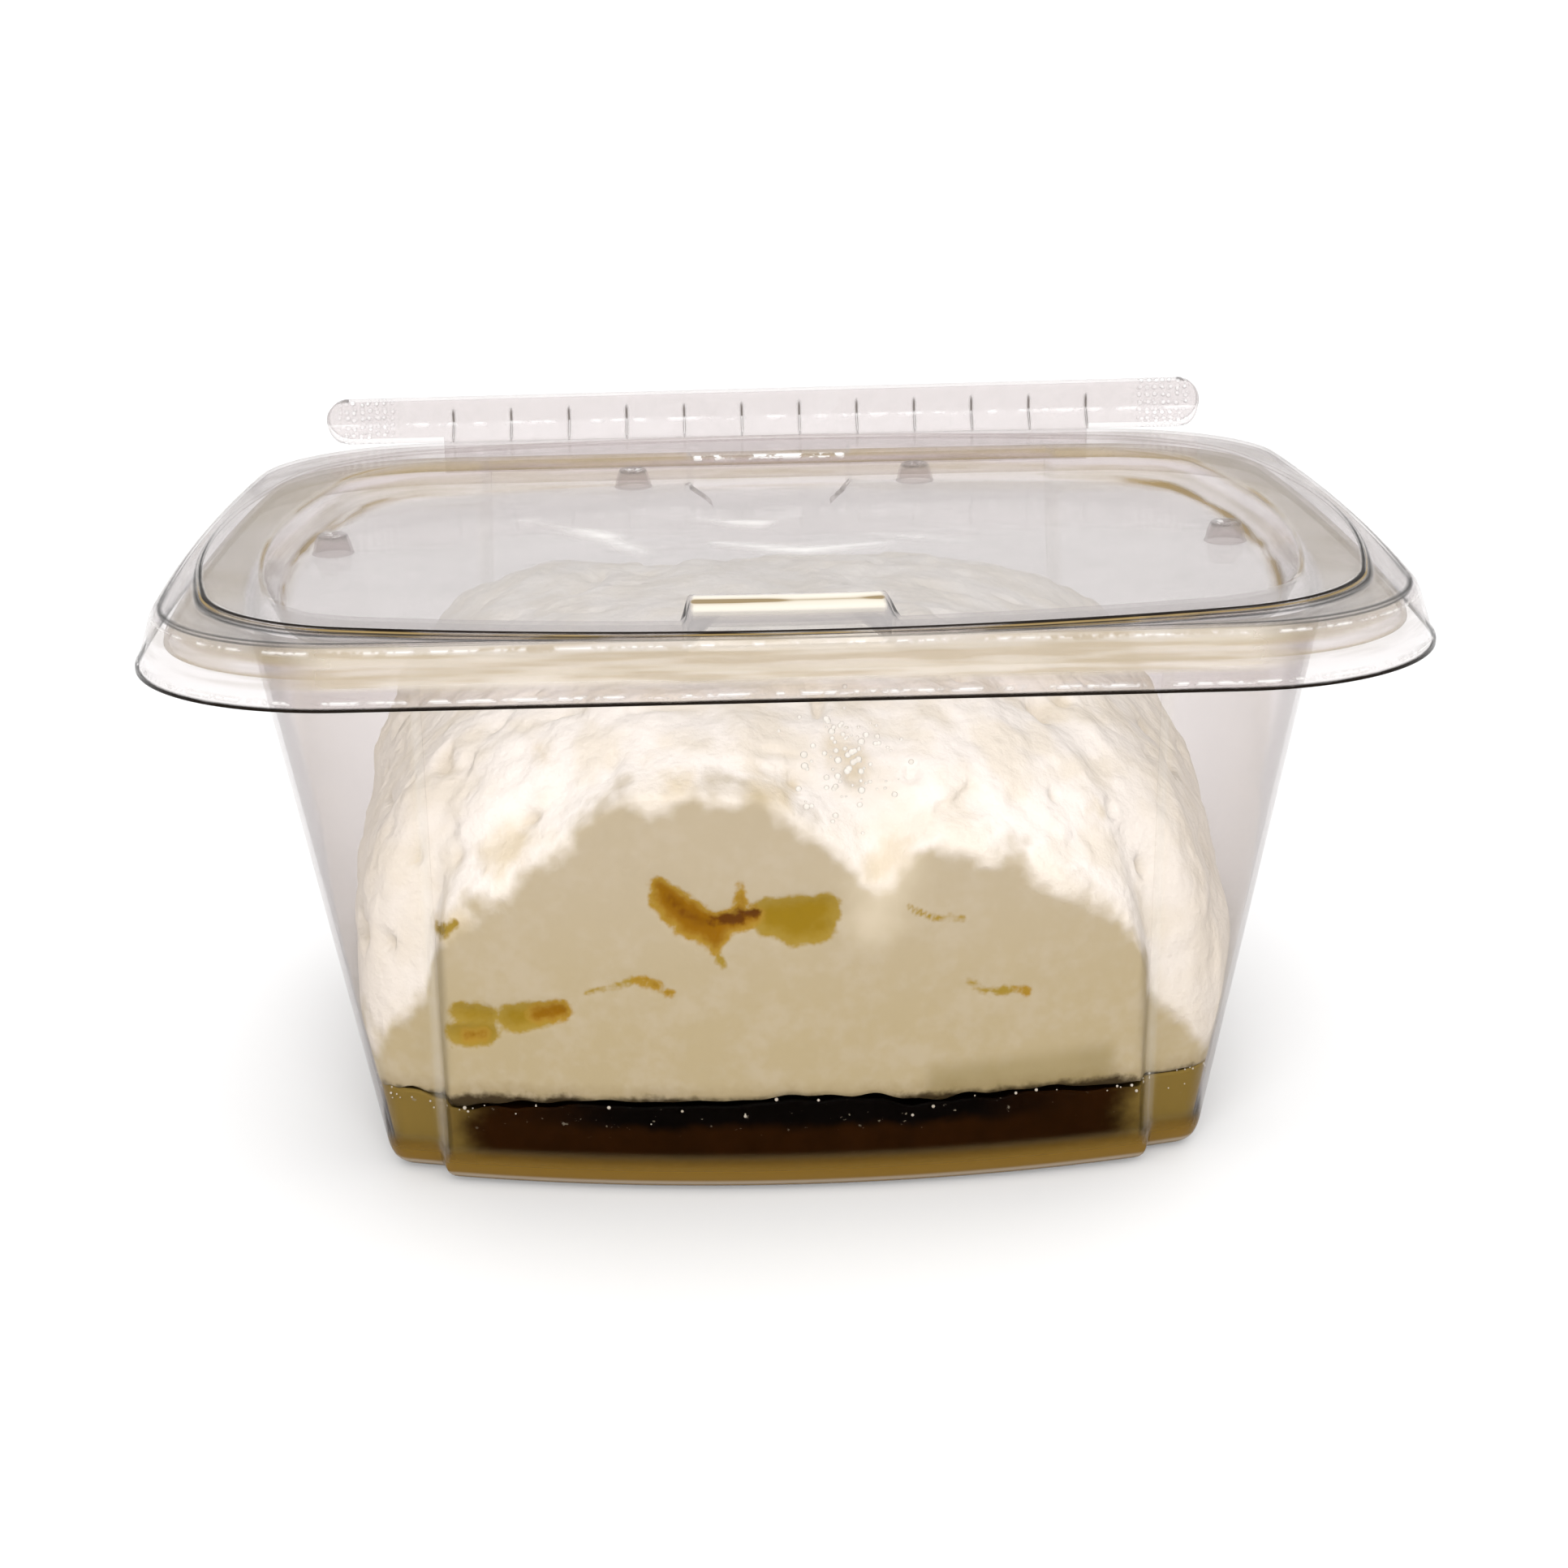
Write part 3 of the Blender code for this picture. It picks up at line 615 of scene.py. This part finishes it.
amber_field = curd_finish.mask("amber") + ragged_edge
deep_amber = curd_finish.step(amber_field, 0.9, 2.4) * curd_finish.step(height, 33.5, 37.5)
streak_field = curd_finish.step(curd_finish.mask("streak") + ragged_edge, -0.3, 0.4)
# Painted shade: a tan laid in the curd's pits and sunk pockets.
curd_colour = curd_finish.coats(
    curd_white_side_shaded,
    (touch_field, pressed_and_shaded),
    (curd_finish.mask("pit") * 0.4, (0.66, 0.56, 0.38, 1.0)),
    (damp_field * 0.55, (0.66, 0.55, 0.33, 1.0)),
    (curd_finish.step(olive_field, -0.5, 0.25), (0.36, 0.25, 0.04, 1.0)),
    (curd_finish.step(olive_field, 0.0, 1.8), (0.30, 0.19, 0.010, 1.0)),
    (curd_finish.step(amber_field, -0.5, 0.15), (0.38, 0.235, 0.03, 1.0)),
    (curd_finish.step(amber_field, 0.0, 1.1), (0.27, 0.12, 0.002, 1.0)),
    (deep_amber, (0.15, 0.052, 0.001, 1.0)),
    (streak_field, (0.12, 0.04, 0.003, 1.0)))
wet = curd_finish.larger(curd_finish.step(olive_field, -0.4, 0.3), curd_finish.step(amber_field, -0.4, 0.3))
curd_height = fine + curd_finish.noise(3.0, 2.0) * 0.6
curd_finish.cover(curd_finish.node("BsdfPrincipled", {}, {
    "Base Color": curd_colour, "Roughness": 0.45 - wet * 0.25, "IOR": 1.4, "Specular IOR Level": 0.12,
    "Normal": curd_finish.bump(curd_height * (1.0 - touch_field * 0.8), 0.28)}), mound, "ricotta")
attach(mound, "base")
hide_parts("ricotta")

# Droplets: whey and damp that cling to the inside of the front wall above the curd's edge.
DROPLETS = 90
drop_x = 6.0 + 3.2 * chance.standard_normal(DROPLETS)
drop_z = 55.5 + 3.6 * chance.standard_normal(DROPLETS)
drop_radii = chance.uniform(0.12, 0.42, DROPLETS)


def front_wall(x, z, inset):
    """Y of the front panel at a place and height, set in from its outer face.

    It is the outline's front arc, of radius (c squared + b squared) / 2b, plus the panel's step.
    """
    share = z / WALL_TOP
    corner_x, corner_y, radius, bulge, _ = [foot + (mouth - foot) * share
                                            for foot, mouth in zip(TUB_FOOT, TUB_MOUTH)]
    arc = (corner_x**2 + bulge**2) / (2.0 * bulge)
    return -(corner_y + bulge - arc + np.sqrt((arc + radius - inset)**2 - x**2) + PANEL_STEP)


drop_y = front_wall(drop_x, drop_z, TUB_SHEET + 0.05)
droplets = beads("wall_droplets", np.stack([drop_x, drop_y, drop_z], axis=-1), drop_radii, 0.35)
drop_finish = Finish("damp_droplets")
drop_colour = drop_finish.blend(drop_finish.noise(1.5), (0.62, 0.58, 0.50, 1.0), (0.86, 0.84, 0.79, 1.0))
drop_finish.cover(drop_finish.node("BsdfPrincipled", {}, {
    "Base Color": drop_colour, "Roughness": 0.1, "IOR": 1.34}), droplets, "whey")
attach(droplets, "base")

# Lid: one clear sheet drawn to a flared skirt, a shoulder, a groove and a ridge, a flat land inside it
# and a sunk panel. A block at the front and one at the back of the panel keep stacked packs in place.
LID_SHEET = 0.45
LID_RIDGE = (42.52, 31.04, 24.5, 5.13, 3.8)
BLOCK_EDGE = 11.6
FRONT_BLOCK_DEPTH = 14.0
BACK_BLOCK_DEPTH = 4.5
LUG_PLACES = ((-57.4, 7.0), (57.6, 2.5), (-19.6, 48.6), (21.0, 48.6))
# Near black of the painted shade along the lid's folds.
FOLD_PAINTED_SHADE = (0.008, 0.005, 0.003, 1.0)
# Pale smears of curd under the panel, each from one point (x, y, half its width there) to the next.
SMEARS = ((-34.0, 25.0, 1.2, -24.0, 16.0, 3.2), (-24.0, 16.0, 3.2, -17.0, 2.0, 1.6),
          (-10.0, 24.0, 1.0, -2.0, 20.0, 2.6), (-8.0, 8.0, 1.6, 3.0, 2.0, 3.4),
          (3.0, 2.0, 3.4, 14.0, 6.0, 1.4), (12.0, 12.0, 1.0, 24.0, 6.0, 1.8))
LID_HAZE = (0.385, 0.36, 0.34, 1.0)

block_columns = np.concatenate([np.linspace(BLOCK_EDGE + 2.4, BLOCK_EDGE - 1.6, 17)[:-1],
                                np.linspace(BLOCK_EDGE - 1.6, 0.0, 9)])
LID_COLUMNS = (30, 26, 26, block_columns)
# Each row: share of the ridge outline, inset, height, share of the block, steps to the next row.
lid_rows = profile([
    (0.0, -2.33, 64.6, 0.0, 4), (0.0, -2.3, 65.2, 0.0, 4), (0.0, -1.75, 65.9, 0.0, 16),
    (0.0, -0.35, 70.3, 0.0, 4), (0.0, 0.05, 71.1, 0.0, 3), (0.0, 0.5, 71.35, 0.0, 6),
    (1.0, -0.4, 71.0, 0.0, 4), (1.0, 0.0, 71.6, 0.0, 5), (1.0, 1.0, 71.3, 0.0, 8),
    (1.0, 6.8, 71.1, 0.0, 12), (1.0, 7.6, 70.8, 1.0, 9), (1.0, 9.2, 67.2, 1.0, 4),
    (1.0, 10.0, 66.6, 1.0, 1)], 2)
ridge_share, lid_inset, lid_height, block_share = lid_rows.T[:, :, None]
shoulder_x, shoulder_y = ring_quarter(LID_SHOULDER, lid_inset, *LID_COLUMNS)
ridge_x, ridge_y = ring_quarter(LID_RIDGE, lid_inset, *LID_COLUMNS)
lid_x = shoulder_x + (ridge_x - shoulder_x) * ridge_share
lid_y = shoulder_y + (ridge_y - shoulder_y) * ridge_share
lid_x, lid_y = whole_rings(lid_x, lid_y)


def block_reach(x, y):
    """How far a block stands into the recess at a place on its ring: its depth, and 0 past its ends."""
    depth = np.where(y < 0.0, FRONT_BLOCK_DEPTH, BACK_BLOCK_DEPTH)
    return depth * np.sign(y) * (1.0 - eased(np.abs(x), BLOCK_EDGE - 0.5, BLOCK_EDGE + 0.5))


lid_y = lid_y - block_share * block_reach(lid_x, lid_y)
run = np.hypot(np.diff(lid_inset[:, 0]) + 4.0 * np.diff(ridge_share[:, 0]), np.diff(lid_height[:, 0]))
run = np.concatenate([[0.0], np.cumsum(run)])[:, None]


def fold_line(row, half_width):
    """1 along that row, and e to the minus square of (run away from it / half width) beside it."""
    return np.exp(-((run - run[row]) / half_width)**2)


# Rows of the lid's profile, counted from the skirt's edge, at which its folds lie.
SHOULDER_ROW, GROOVE_ROW, RIDGE_ROW, BLOCK_ROW, PANEL_ROW = 31, 37, 41, 66, 79
# Painted shade: near-black lines along the skirt's edge, the shoulder, the groove, the ridge and the blocks'
# ends, all strongest towards the front.
towards_front = eased(-lid_y, -25.0, 50.0)
fold = fold_line(0, 0.35) * (0.12 + 1.2 * towards_front)
fold = fold + fold_line(SHOULDER_ROW, 0.14) * (0.25 + 0.65 * towards_front)
fold = fold + fold_line(RIDGE_ROW, 0.22) * (0.15 + 1.7 * towards_front)
fold = fold + fold_line(GROOVE_ROW, 0.16) * (0.1 + 0.9 * towards_front)
row_number = np.arange(len(run))[:, None]
block_end = np.exp(-((np.abs(lid_x) - BLOCK_EDGE) / 0.2)**2)
on_block_side = eased(row_number, 55, 58) * (1.0 - eased(row_number, BLOCK_ROW, BLOCK_ROW + 3))
fold = fold + block_end * on_block_side * (0.3 + 1.2 * towards_front)
on_block = 1.0 - eased(np.abs(lid_x), BLOCK_EDGE - 1.2, BLOCK_EDGE - 0.4)
# Painted highlights: pale broken dashes below the shoulder and near the skirt's edge, strongest towards the
# front, and along the blocks' inner edges.
painted_glint = (fold_line(SHOULDER_ROW - 6, 0.22) * 0.6 + fold_line(6, 0.2) * 0.65) * towards_front
painted_glint = painted_glint + np.exp(-((row_number - BLOCK_ROW) / 1.1)**2) * on_block
between = (row_number > GROOVE_ROW) & (row_number < RIDGE_ROW + 1)
brown = between * 1.05 * towards_front
brown = brown + fold_line(PANEL_ROW, 0.6) * 0.2 + fold_line(GROOVE_ROW - 3, 0.3) * 0.25
at_sides = eased(np.abs(lid_x), 44.0, 56.0)
brown = brown + at_sides * (fold_line(60, 0.35) * 0.6 + fold_line(76, 0.5) * 0.6)
on_land = eased(row_number, 44, 47) * (1.0 - eased(row_number, 54, 60)) * eased(-lid_y, 30.0, 50.0)
skirt_band = eased(row_number, 9, 13) * (1.0 - eased(row_number, 27, 31))
on_skirt = skirt_band * (1.0 - eased(np.abs(lid_x), 48.0, 56.0))
brown = brown + on_skirt * 0.22 * towards_front
brown = brown + skirt_band * 0.16 * eased(np.abs(lid_x), 48.0, 56.0)
on_front_half = eased(-lid_y, 0.0, 1.0)
# Cream on the front block's top and the skirt's front: the curd seen through, and on the block a painted
# highlight of the light it reflects.
cream_and_glint = on_block * 1.3 * eased(row_number, 56, 59) * (1.0 - eased(row_number, 64, 66)) * on_front_half
cream_and_glint = cream_and_glint + on_skirt * 0.5 * towards_front
brown = brown + on_block * np.exp(-((row_number - 62) / 0.8)**2) * on_front_half
panel_share = np.linspace(0.985, 0.03, 34)[:, None]
bottom_x, bottom_y = ring_quarter(LID_RIDGE, lid_inset[-1:], *LID_COLUMNS)
bottom_x, bottom_y = whole_rings(bottom_x, bottom_y)
panel_x = bottom_x * panel_share
block_left = np.clip(panel_share - 0.5, 0.0, None)
panel_y = bottom_y * panel_share - block_reach(bottom_x, bottom_y) * block_left / 0.5
panel_place = np.stack([panel_x, panel_y, 0.0 * panel_x], axis=-1)
panel_z = lid_height[-1] + 0.14 * lattice_noise(panel_place, 17.0, 21) * eased(1.0 - panel_share, 0.0, 0.2)
panel_mask = eased(row_number, BLOCK_ROW, PANEL_ROW) * 0.6 + on_land * 0.85


def lid_and_panel(on_lid, on_panel):
    """Values for all rings of the lid, and after them those for the rings of its flat panel."""
    return np.concatenate([np.broadcast_to(on_lid, lid_x.shape), np.broadcast_to(on_panel, panel_x.shape)])


lid = closed_belt(
    "lid_shell", lid_and_panel(lid_x, panel_x), lid_and_panel(lid_y, panel_y),
    lid_and_panel(lid_height, panel_z),
    {"fold": lid_and_panel(fold, 0.0), "painted_glint": lid_and_panel(painted_glint, 0.0),
     "brown": lid_and_panel(brown, 0.0), "cream_and_glint": lid_and_panel(cream_and_glint, 0.0),
     "panel": lid_and_panel(panel_mask, 1.0),
     "smear": lid_and_panel(-NO_POCKET, pocket_depth(SMEARS, panel_x, panel_y))},
    last_pole=(0.0, 0.0, float(panel_z[-1].mean())))
give_thickness(lid, LID_SHEET)

lid_finish = Finish("clear_lid_sheet")
fold_shade_field = lid_finish.mask("fold") * (lid_finish.step(lid_finish.noise(5.0, 2.0), 0.25, 0.5) * 0.3 + 0.7)
painted_glint_field = lid_finish.mask("painted_glint") * lid_finish.step(lid_finish.noise(1.7, 2.0), 0.42, 0.58)
lid_streaks = lid_finish.noise(1.2, 2.0, (0.06, 0.06, 1.0))
brown_field = lid_finish.mask("brown") * (lid_finish.step(lid_streaks, 0.42, 0.6) * 0.8 + 0.3)
cream_and_glint_field = lid_finish.mask("cream_and_glint") * 0.6
panel_field = lid_finish.mask("panel")
cloud = lid_finish.noise(14.0, 2.0)
wisps = lid_finish.noise(6.0, 3.0, (0.4, 1.0, 1.0))
smear_field = lid_finish.step(lid_finish.mask("smear") + wisps * 6.0, 1.8, 7.2)
haze = panel_field * (cloud * 0.22 + 0.13) + smear_field * 0.33
lid_veil = lid_finish.larger(fold_shade_field, painted_glint_field)
lid_veil = lid_finish.held("MAXIMUM", lid_veil, haze + brown_field + cream_and_glint_field)
lid_tone = lid_finish.coats(
    LID_HAZE,
    (cream_and_glint_field * 1.8, (0.98, 0.91, 0.78, 1.0)),
    (brown_field * 2.5, (0.27, 0.19, 0.08, 1.0)),
    (painted_glint_field, (0.97, 0.96, 0.95, 1.0)),
    (lid_finish.step(fold_shade_field, 0.1, 0.4), FOLD_PAINTED_SHADE),
    (smear_field, (0.95, 0.93, 0.90, 1.0)))
lid_wobble = lid_finish.bump(cloud, 0.25)
lid_finish.cover(clear_sheet(lid_finish, lid_veil, lid_tone, lid_wobble), lid, "lid_plastic")
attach(lid, "cover")
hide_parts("lid")

# Each lug's radius and height, from its wide foot on the panel to its dished top.
LUG_PROFILE = ((2.75, 66.62), (2.6, 66.8), (2.3, 68.1), (1.95, 68.95), (1.6, 69.2), (1.1, 69.05),
               (0.6, 68.8), (0.2, 68.75))
lug_radius, lug_z = np.array(LUG_PROFILE).T[:, :, None]
lug_turn = np.arange(32)[None, :] * np.pi / 16.0
# Painted shade in a ring round each lug and at its foot, and a painted highlight on its top.
lug_fold_shade = np.exp(-((lug_radius - 1.85) / 0.2)**2) * 0.4 + np.exp(-((lug_z - 66.65) / 0.15)**2) * 0.2
lug_masks = {"fold": lug_fold_shade, "painted_glint": eased(1.5 - lug_radius, 0.0, 0.5) * 0.6, "brown": 0.0, "cream_and_glint": 0.0,
             "panel": 0.2, "smear": -NO_POCKET}
for order, (place_x, place_y) in enumerate(LUG_PLACES):
    lug = closed_belt(
        f"lid_lug_{order + 1}", place_x + lug_radius * np.cos(lug_turn),
        place_y + lug_radius * np.sin(lug_turn), lug_z, lug_masks,
        last_pole=(place_x, place_y, LUG_PROFILE[-1][1]))
    give_thickness(lug, 0.3)
    lug.data.materials.append(lid_finish.material)
    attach(lug, "cover")

# Tear strip: a clear band folded over along its top, joined to the lid at its leaning foot.
# A row of slits lets it be torn off, and moulded dots at its rounded ends give the fingers a grip.
STRIP_LEFT, STRIP_RIGHT = -65.0, 64.5
STRIP_SHEET = 0.5
STRIP_SLITS = 12
FIRST_SLIT, LAST_SLIT = -46.3, 47.6
SLIT_WIDTH = 0.14
STRIP_MIDDLE_Z = 74.97
STRIP_END_RADIUS = 3.32
STRIP_STRAIGHT = 60.0
STRIP_END = 5.0
BACK_HALF_LENGTH = 48.0
FOOT_Z, CREASE_Z, TOP_Z = 71.65, 74.0, 78.3
PALE_HAZE = (0.70, 0.68, 0.68, 1.0)

slit_x = np.linspace(FIRST_SLIT, LAST_SLIT, STRIP_SLITS)
across = np.unique(np.round(np.concatenate([
    np.linspace(-STRIP_STRAIGHT, STRIP_STRAIGHT, 97), slit_x - SLIT_WIDTH / 2.0, slit_x + SLIT_WIDTH / 2.0,
    slit_x - 0.22, slit_x + 0.22, slit_x - 0.5, slit_x + 0.5,
    -STRIP_STRAIGHT - np.linspace(0.0, STRIP_END, 22), STRIP_STRAIGHT + np.linspace(0.0, STRIP_END, 22),
    (-BACK_HALF_LENGTH, BACK_HALF_LENGTH)]), 3))
fold_turn = np.linspace(np.pi, 0.0, 9)
# The path of the sheet, as y and z: leaning foot, upright front, fold over the top, and back.
path = np.concatenate([
    np.linspace((61.0, FOOT_Z), (63.1, 73.9), 9),
    np.linspace((63.2, 74.1), (63.2, 77.3), 12),
    np.stack([64.1 + 0.9 * np.cos(fold_turn), 77.4 + 0.9 * np.sin(fold_turn)], axis=-1),
    np.linspace((65.0, 77.2), (65.0, 71.9), 12), np.linspace((65.0, 71.6), (65.0, 66.2), 12)])
path_y, path_z = path.T[:, :, None]
# Both ends are rounded: each row stops where the circle of the end radius ends at its height.
off_middle = np.clip(path_z, FOOT_Z, TOP_Z) - STRIP_MIDDLE_Z
end_round = np.sqrt(np.clip(STRIP_END_RADIUS**2 - off_middle**2, 0.0, None))
end_share = np.clip((np.abs(across) - STRIP_STRAIGHT) / STRIP_END, 0.0, 1.0)[None, :]
end_reach = np.where(across < 0.0, -STRIP_LEFT, STRIP_RIGHT)[None, :]
end_reach = end_reach - STRIP_STRAIGHT - STRIP_END_RADIUS + end_round
strip_x = np.sign(across) * (np.minimum(np.abs(across), STRIP_STRAIGHT) + end_share * end_reach)
strip_z = path_z + 0.35 * (strip_x / 65.0) * eased(path_z, 72.0, 78.0) - 0.35 * eased(path_z, 72.0, 78.0)
strip_y = path_y + 0.0 * strip_x
rows, columns = strip_x.shape
number = np.arange(rows * columns).reshape(rows, columns)
quads = np.stack([number[:-1, :-1], number[:-1, 1:], number[1:, 1:], number[1:, :-1]], axis=-1)
middle_x = (across[:-1] + across[1:]) / 2.0
in_slit = (np.abs(middle_x[None, :] - slit_x[:, None]) < SLIT_WIDTH / 2.0).any(axis=0)[None, :]
middle_z = (path_z[:-1] + path_z[1:]) / 2.0
# Faces are left out at the slits in the leaning foot, and behind the lid at both ends of the back.
FOOT_ROWS, FRONT_ROWS, SLIT_ROWS, BACK_FROM_ROW = 9, 15, 18, 20
face_row = np.arange(rows - 1)[:, None]
leave_out = in_slit & (face_row < FOOT_ROWS) & (face_row > 0)
leave_out = leave_out | ((np.abs(middle_x)[None, :] > BACK_HALF_LENGTH) & (middle_z < FOOT_Z + 0.1)
                         & (face_row > BACK_FROM_ROW))
strip_mesh = bpy.data.meshes.new("strip_band")
strip_points = np.stack([strip_x, strip_y, strip_z], axis=-1).reshape(-1, 3)
kept_quads = quads[~leave_out]
used, renumbered = np.unique(kept_quads, return_inverse=True)
strip_mesh.from_pydata((strip_points[used] * MM).tolist(), [], renumbered.reshape(-1, 4).tolist())
row_number = np.arange(rows)[:, None]
slit_gap = np.abs(strip_x[..., None] - slit_x).min(axis=-1)
strip_masks = {
    "crease_glint": np.exp(-((path_z - CREASE_Z) / 0.16)**2) * (row_number < FRONT_ROWS),
    "top_edge": np.exp(-((path_z - TOP_Z + 0.05) / 0.25)**2) * 0.6,
    "slit": (np.exp(-(slit_gap / 0.22)**2) * (1.0 - eased(np.abs(path_z - CREASE_Z), 1.6, 2.9))
             * (row_number < SLIT_ROWS)),
    "end_line": eased(end_share, 0.9, 1.0)}
for mask, values in strip_masks.items():
    values = np.broadcast_to(values, strip_x.shape)
    layer = strip_mesh.attributes.new(mask, "FLOAT", "POINT")
    layer.data.foreach_set("value", values.ravel()[used].astype(np.float32))
strip = smooth_piece("strip_band", strip_mesh)
give_thickness(strip, STRIP_SHEET)

strip_finish = Finish("clear_strip_sheet")
# Painted highlights: a broken white line along the crease, and white on the grip dots.
breaks = strip_finish.step(strip_finish.noise(3.5, 3.0), 0.4, 0.58)
crease_glint_field = strip_finish.mask("crease_glint") * breaks * 0.62
# Painted shade: dark outlines along the rounded ends and the top edge, and dark lines beside the slits.
edges = strip_finish.mask("end_line") * 0.5 + strip_finish.mask("top_edge") * 0.35
edge_and_slit_shade = edges + strip_finish.mask("slit") * 1.1
away = strip_finish.unsigned(strip_finish.along(0))
at_ends = strip_finish.step(away, 54.0, 56.0) * strip_finish.step(away, 64.0, 62.5)
dots = strip_finish.node("TexVoronoi", {}, {
    "Vector": strip_finish.place(), "Scale": 900.0, "Randomness": 0.35})
grip = strip_finish.step(dots, 0.42, 0.22) * at_ends
strip_veil = strip_finish.larger(crease_glint_field, edge_and_slit_shade)
strip_veil = strip_finish.held("MAXIMUM", strip_veil, grip * 0.22 + strip_finish.noise(8.0, 2.0) * 0.24)
strip_tone = strip_finish.coats(
    PALE_HAZE,
    (edge_and_slit_shade, (0.16, 0.14, 0.13, 1.0)),
    (strip_finish.larger(crease_glint_field, grip), (0.97, 0.97, 0.97, 1.0)))
strip_wobble = strip_finish.bump(strip_finish.noise(6.0, 2.0) + grip * 2.0, 0.15)
strip_finish.cover(clear_sheet(strip_finish, strip_veil, strip_tone, strip_wobble), strip, "strip_plastic")
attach(strip, "cover")
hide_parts("tear_strip")

# Floor: a plain pale table top, wide enough to fill the view.
FLOOR_REACH = 25000.0
floor_turn = np.arange(64)[None, :] * np.pi / 32.0
floor_radius = np.array([200.0, 1000.0, FLOOR_REACH])[::-1, None]
floor = closed_belt("floor", floor_radius * np.cos(floor_turn), floor_radius * np.sin(floor_turn),
                    0.0 * floor_radius - 0.02, last_pole=(0.0, 0.0, -0.02))
floor_finish = Finish("pale_table")
floor_colour = floor_finish.blend(floor_finish.noise(60.0, 3.0), (0.83, 0.83, 0.83, 1.0),
                                  (0.85, 0.85, 0.85, 1.0))
floor_shader = floor_finish.node("BsdfPrincipled", {}, {"Base Color": floor_colour, "Roughness": 0.6})
floor_end = floor_finish.tree.nodes.new("ShaderNodeOutputMaterial")
floor_finish.tree.links.new(floor_shader.socket, floor_end.inputs["Surface"])
floor.data.materials.append(floor_finish.material)

# Light: a pale room, white at the horizon, darkest just above it and brighter again overhead, with
# two wide soft lamps far off, one in front and above, and a weaker one overhead.
world = bpy.data.worlds.new("pale_room")
world.use_nodes = True
sky = world.node_tree
upwards = sky.nodes.new("ShaderNodeSeparateXYZ")
sky.links.new(sky.nodes.new("ShaderNodeTexCoord").outputs["Generated"], upwards.inputs["Vector"])
sky_tones = sky.nodes.new("ShaderNodeValToRGB")
horizon = sky_tones.color_ramp.elements[0]
horizon.position, horizon.color = 0.035, (1.0, 1.0, 1.0, 1.0)
overhead = sky_tones.color_ramp.elements[1]
overhead.position, overhead.color = 0.6, (0.8, 0.8, 0.8, 1.0)
low_wall = sky_tones.color_ramp.elements.new(0.09)
low_wall.color = (0.4, 0.4, 0.4, 1.0)
sky.links.new(upwards.outputs["Z"], sky_tones.inputs["Fac"])
sky.links.new(sky_tones.outputs["Color"], sky.nodes["Background"].inputs["Color"])
sky.nodes["Background"].inputs["Strength"].default_value = 1.06
bpy.context.scene.world = world


def far_lamp(name, direction, power, width):
    """A lamp so far off that its light is even, from a soft patch of sky this wide, in radians."""
    data = bpy.data.lights.new(name, "SUN")
    data.energy = power
    data.angle = width
    lamp = bpy.data.objects.new(name, data)
    lamp.rotation_euler = Vector(direction).to_track_quat("-Z", "Y").to_euler()
    bpy.context.scene.collection.objects.link(lamp)


far_lamp("front_lamp", (0.08, 0.84, -0.55), 2.4, 0.9)
far_lamp("top_lamp", (-0.15, -0.1, -1.0), 0.9, 0.9)

# Camera: in front of the tub and above it, looking down by 17 degrees.
CAMERA_PLACE = (-0.007842, -0.344663, 0.141171)
CAMERA_RIGHT = (0.99944, -0.02857, -0.01720)
CAMERA_UP = (0.02478, 0.29122, 0.95634)
CAMERA_FORWARD = (0.02231, 0.95623, -0.29176)
camera_data = bpy.data.cameras.new("camera")
camera_data.sensor_width = 36.0
camera_data.lens = 63.35
camera_data.clip_end = 60.0
camera = bpy.data.objects.new("camera", camera_data)
turned = np.eye(4)
turned[:3, 0], turned[:3, 1] = CAMERA_RIGHT, CAMERA_UP
turned[:3, 2], turned[:3, 3] = -np.array(CAMERA_FORWARD), CAMERA_PLACE
camera.matrix_world = Matrix(turned.tolist())
bpy.context.scene.collection.objects.link(camera)
bpy.context.scene.camera = camera
bpy.context.scene.view_settings.view_transform = "Standard"
bpy.context.scene.cycles.transparent_max_bounces = 32
bpy.context.scene.cycles.max_bounces = 3
bpy.context.scene.cycles.diffuse_bounces = 1
bpy.context.scene.cycles.glossy_bounces = 1
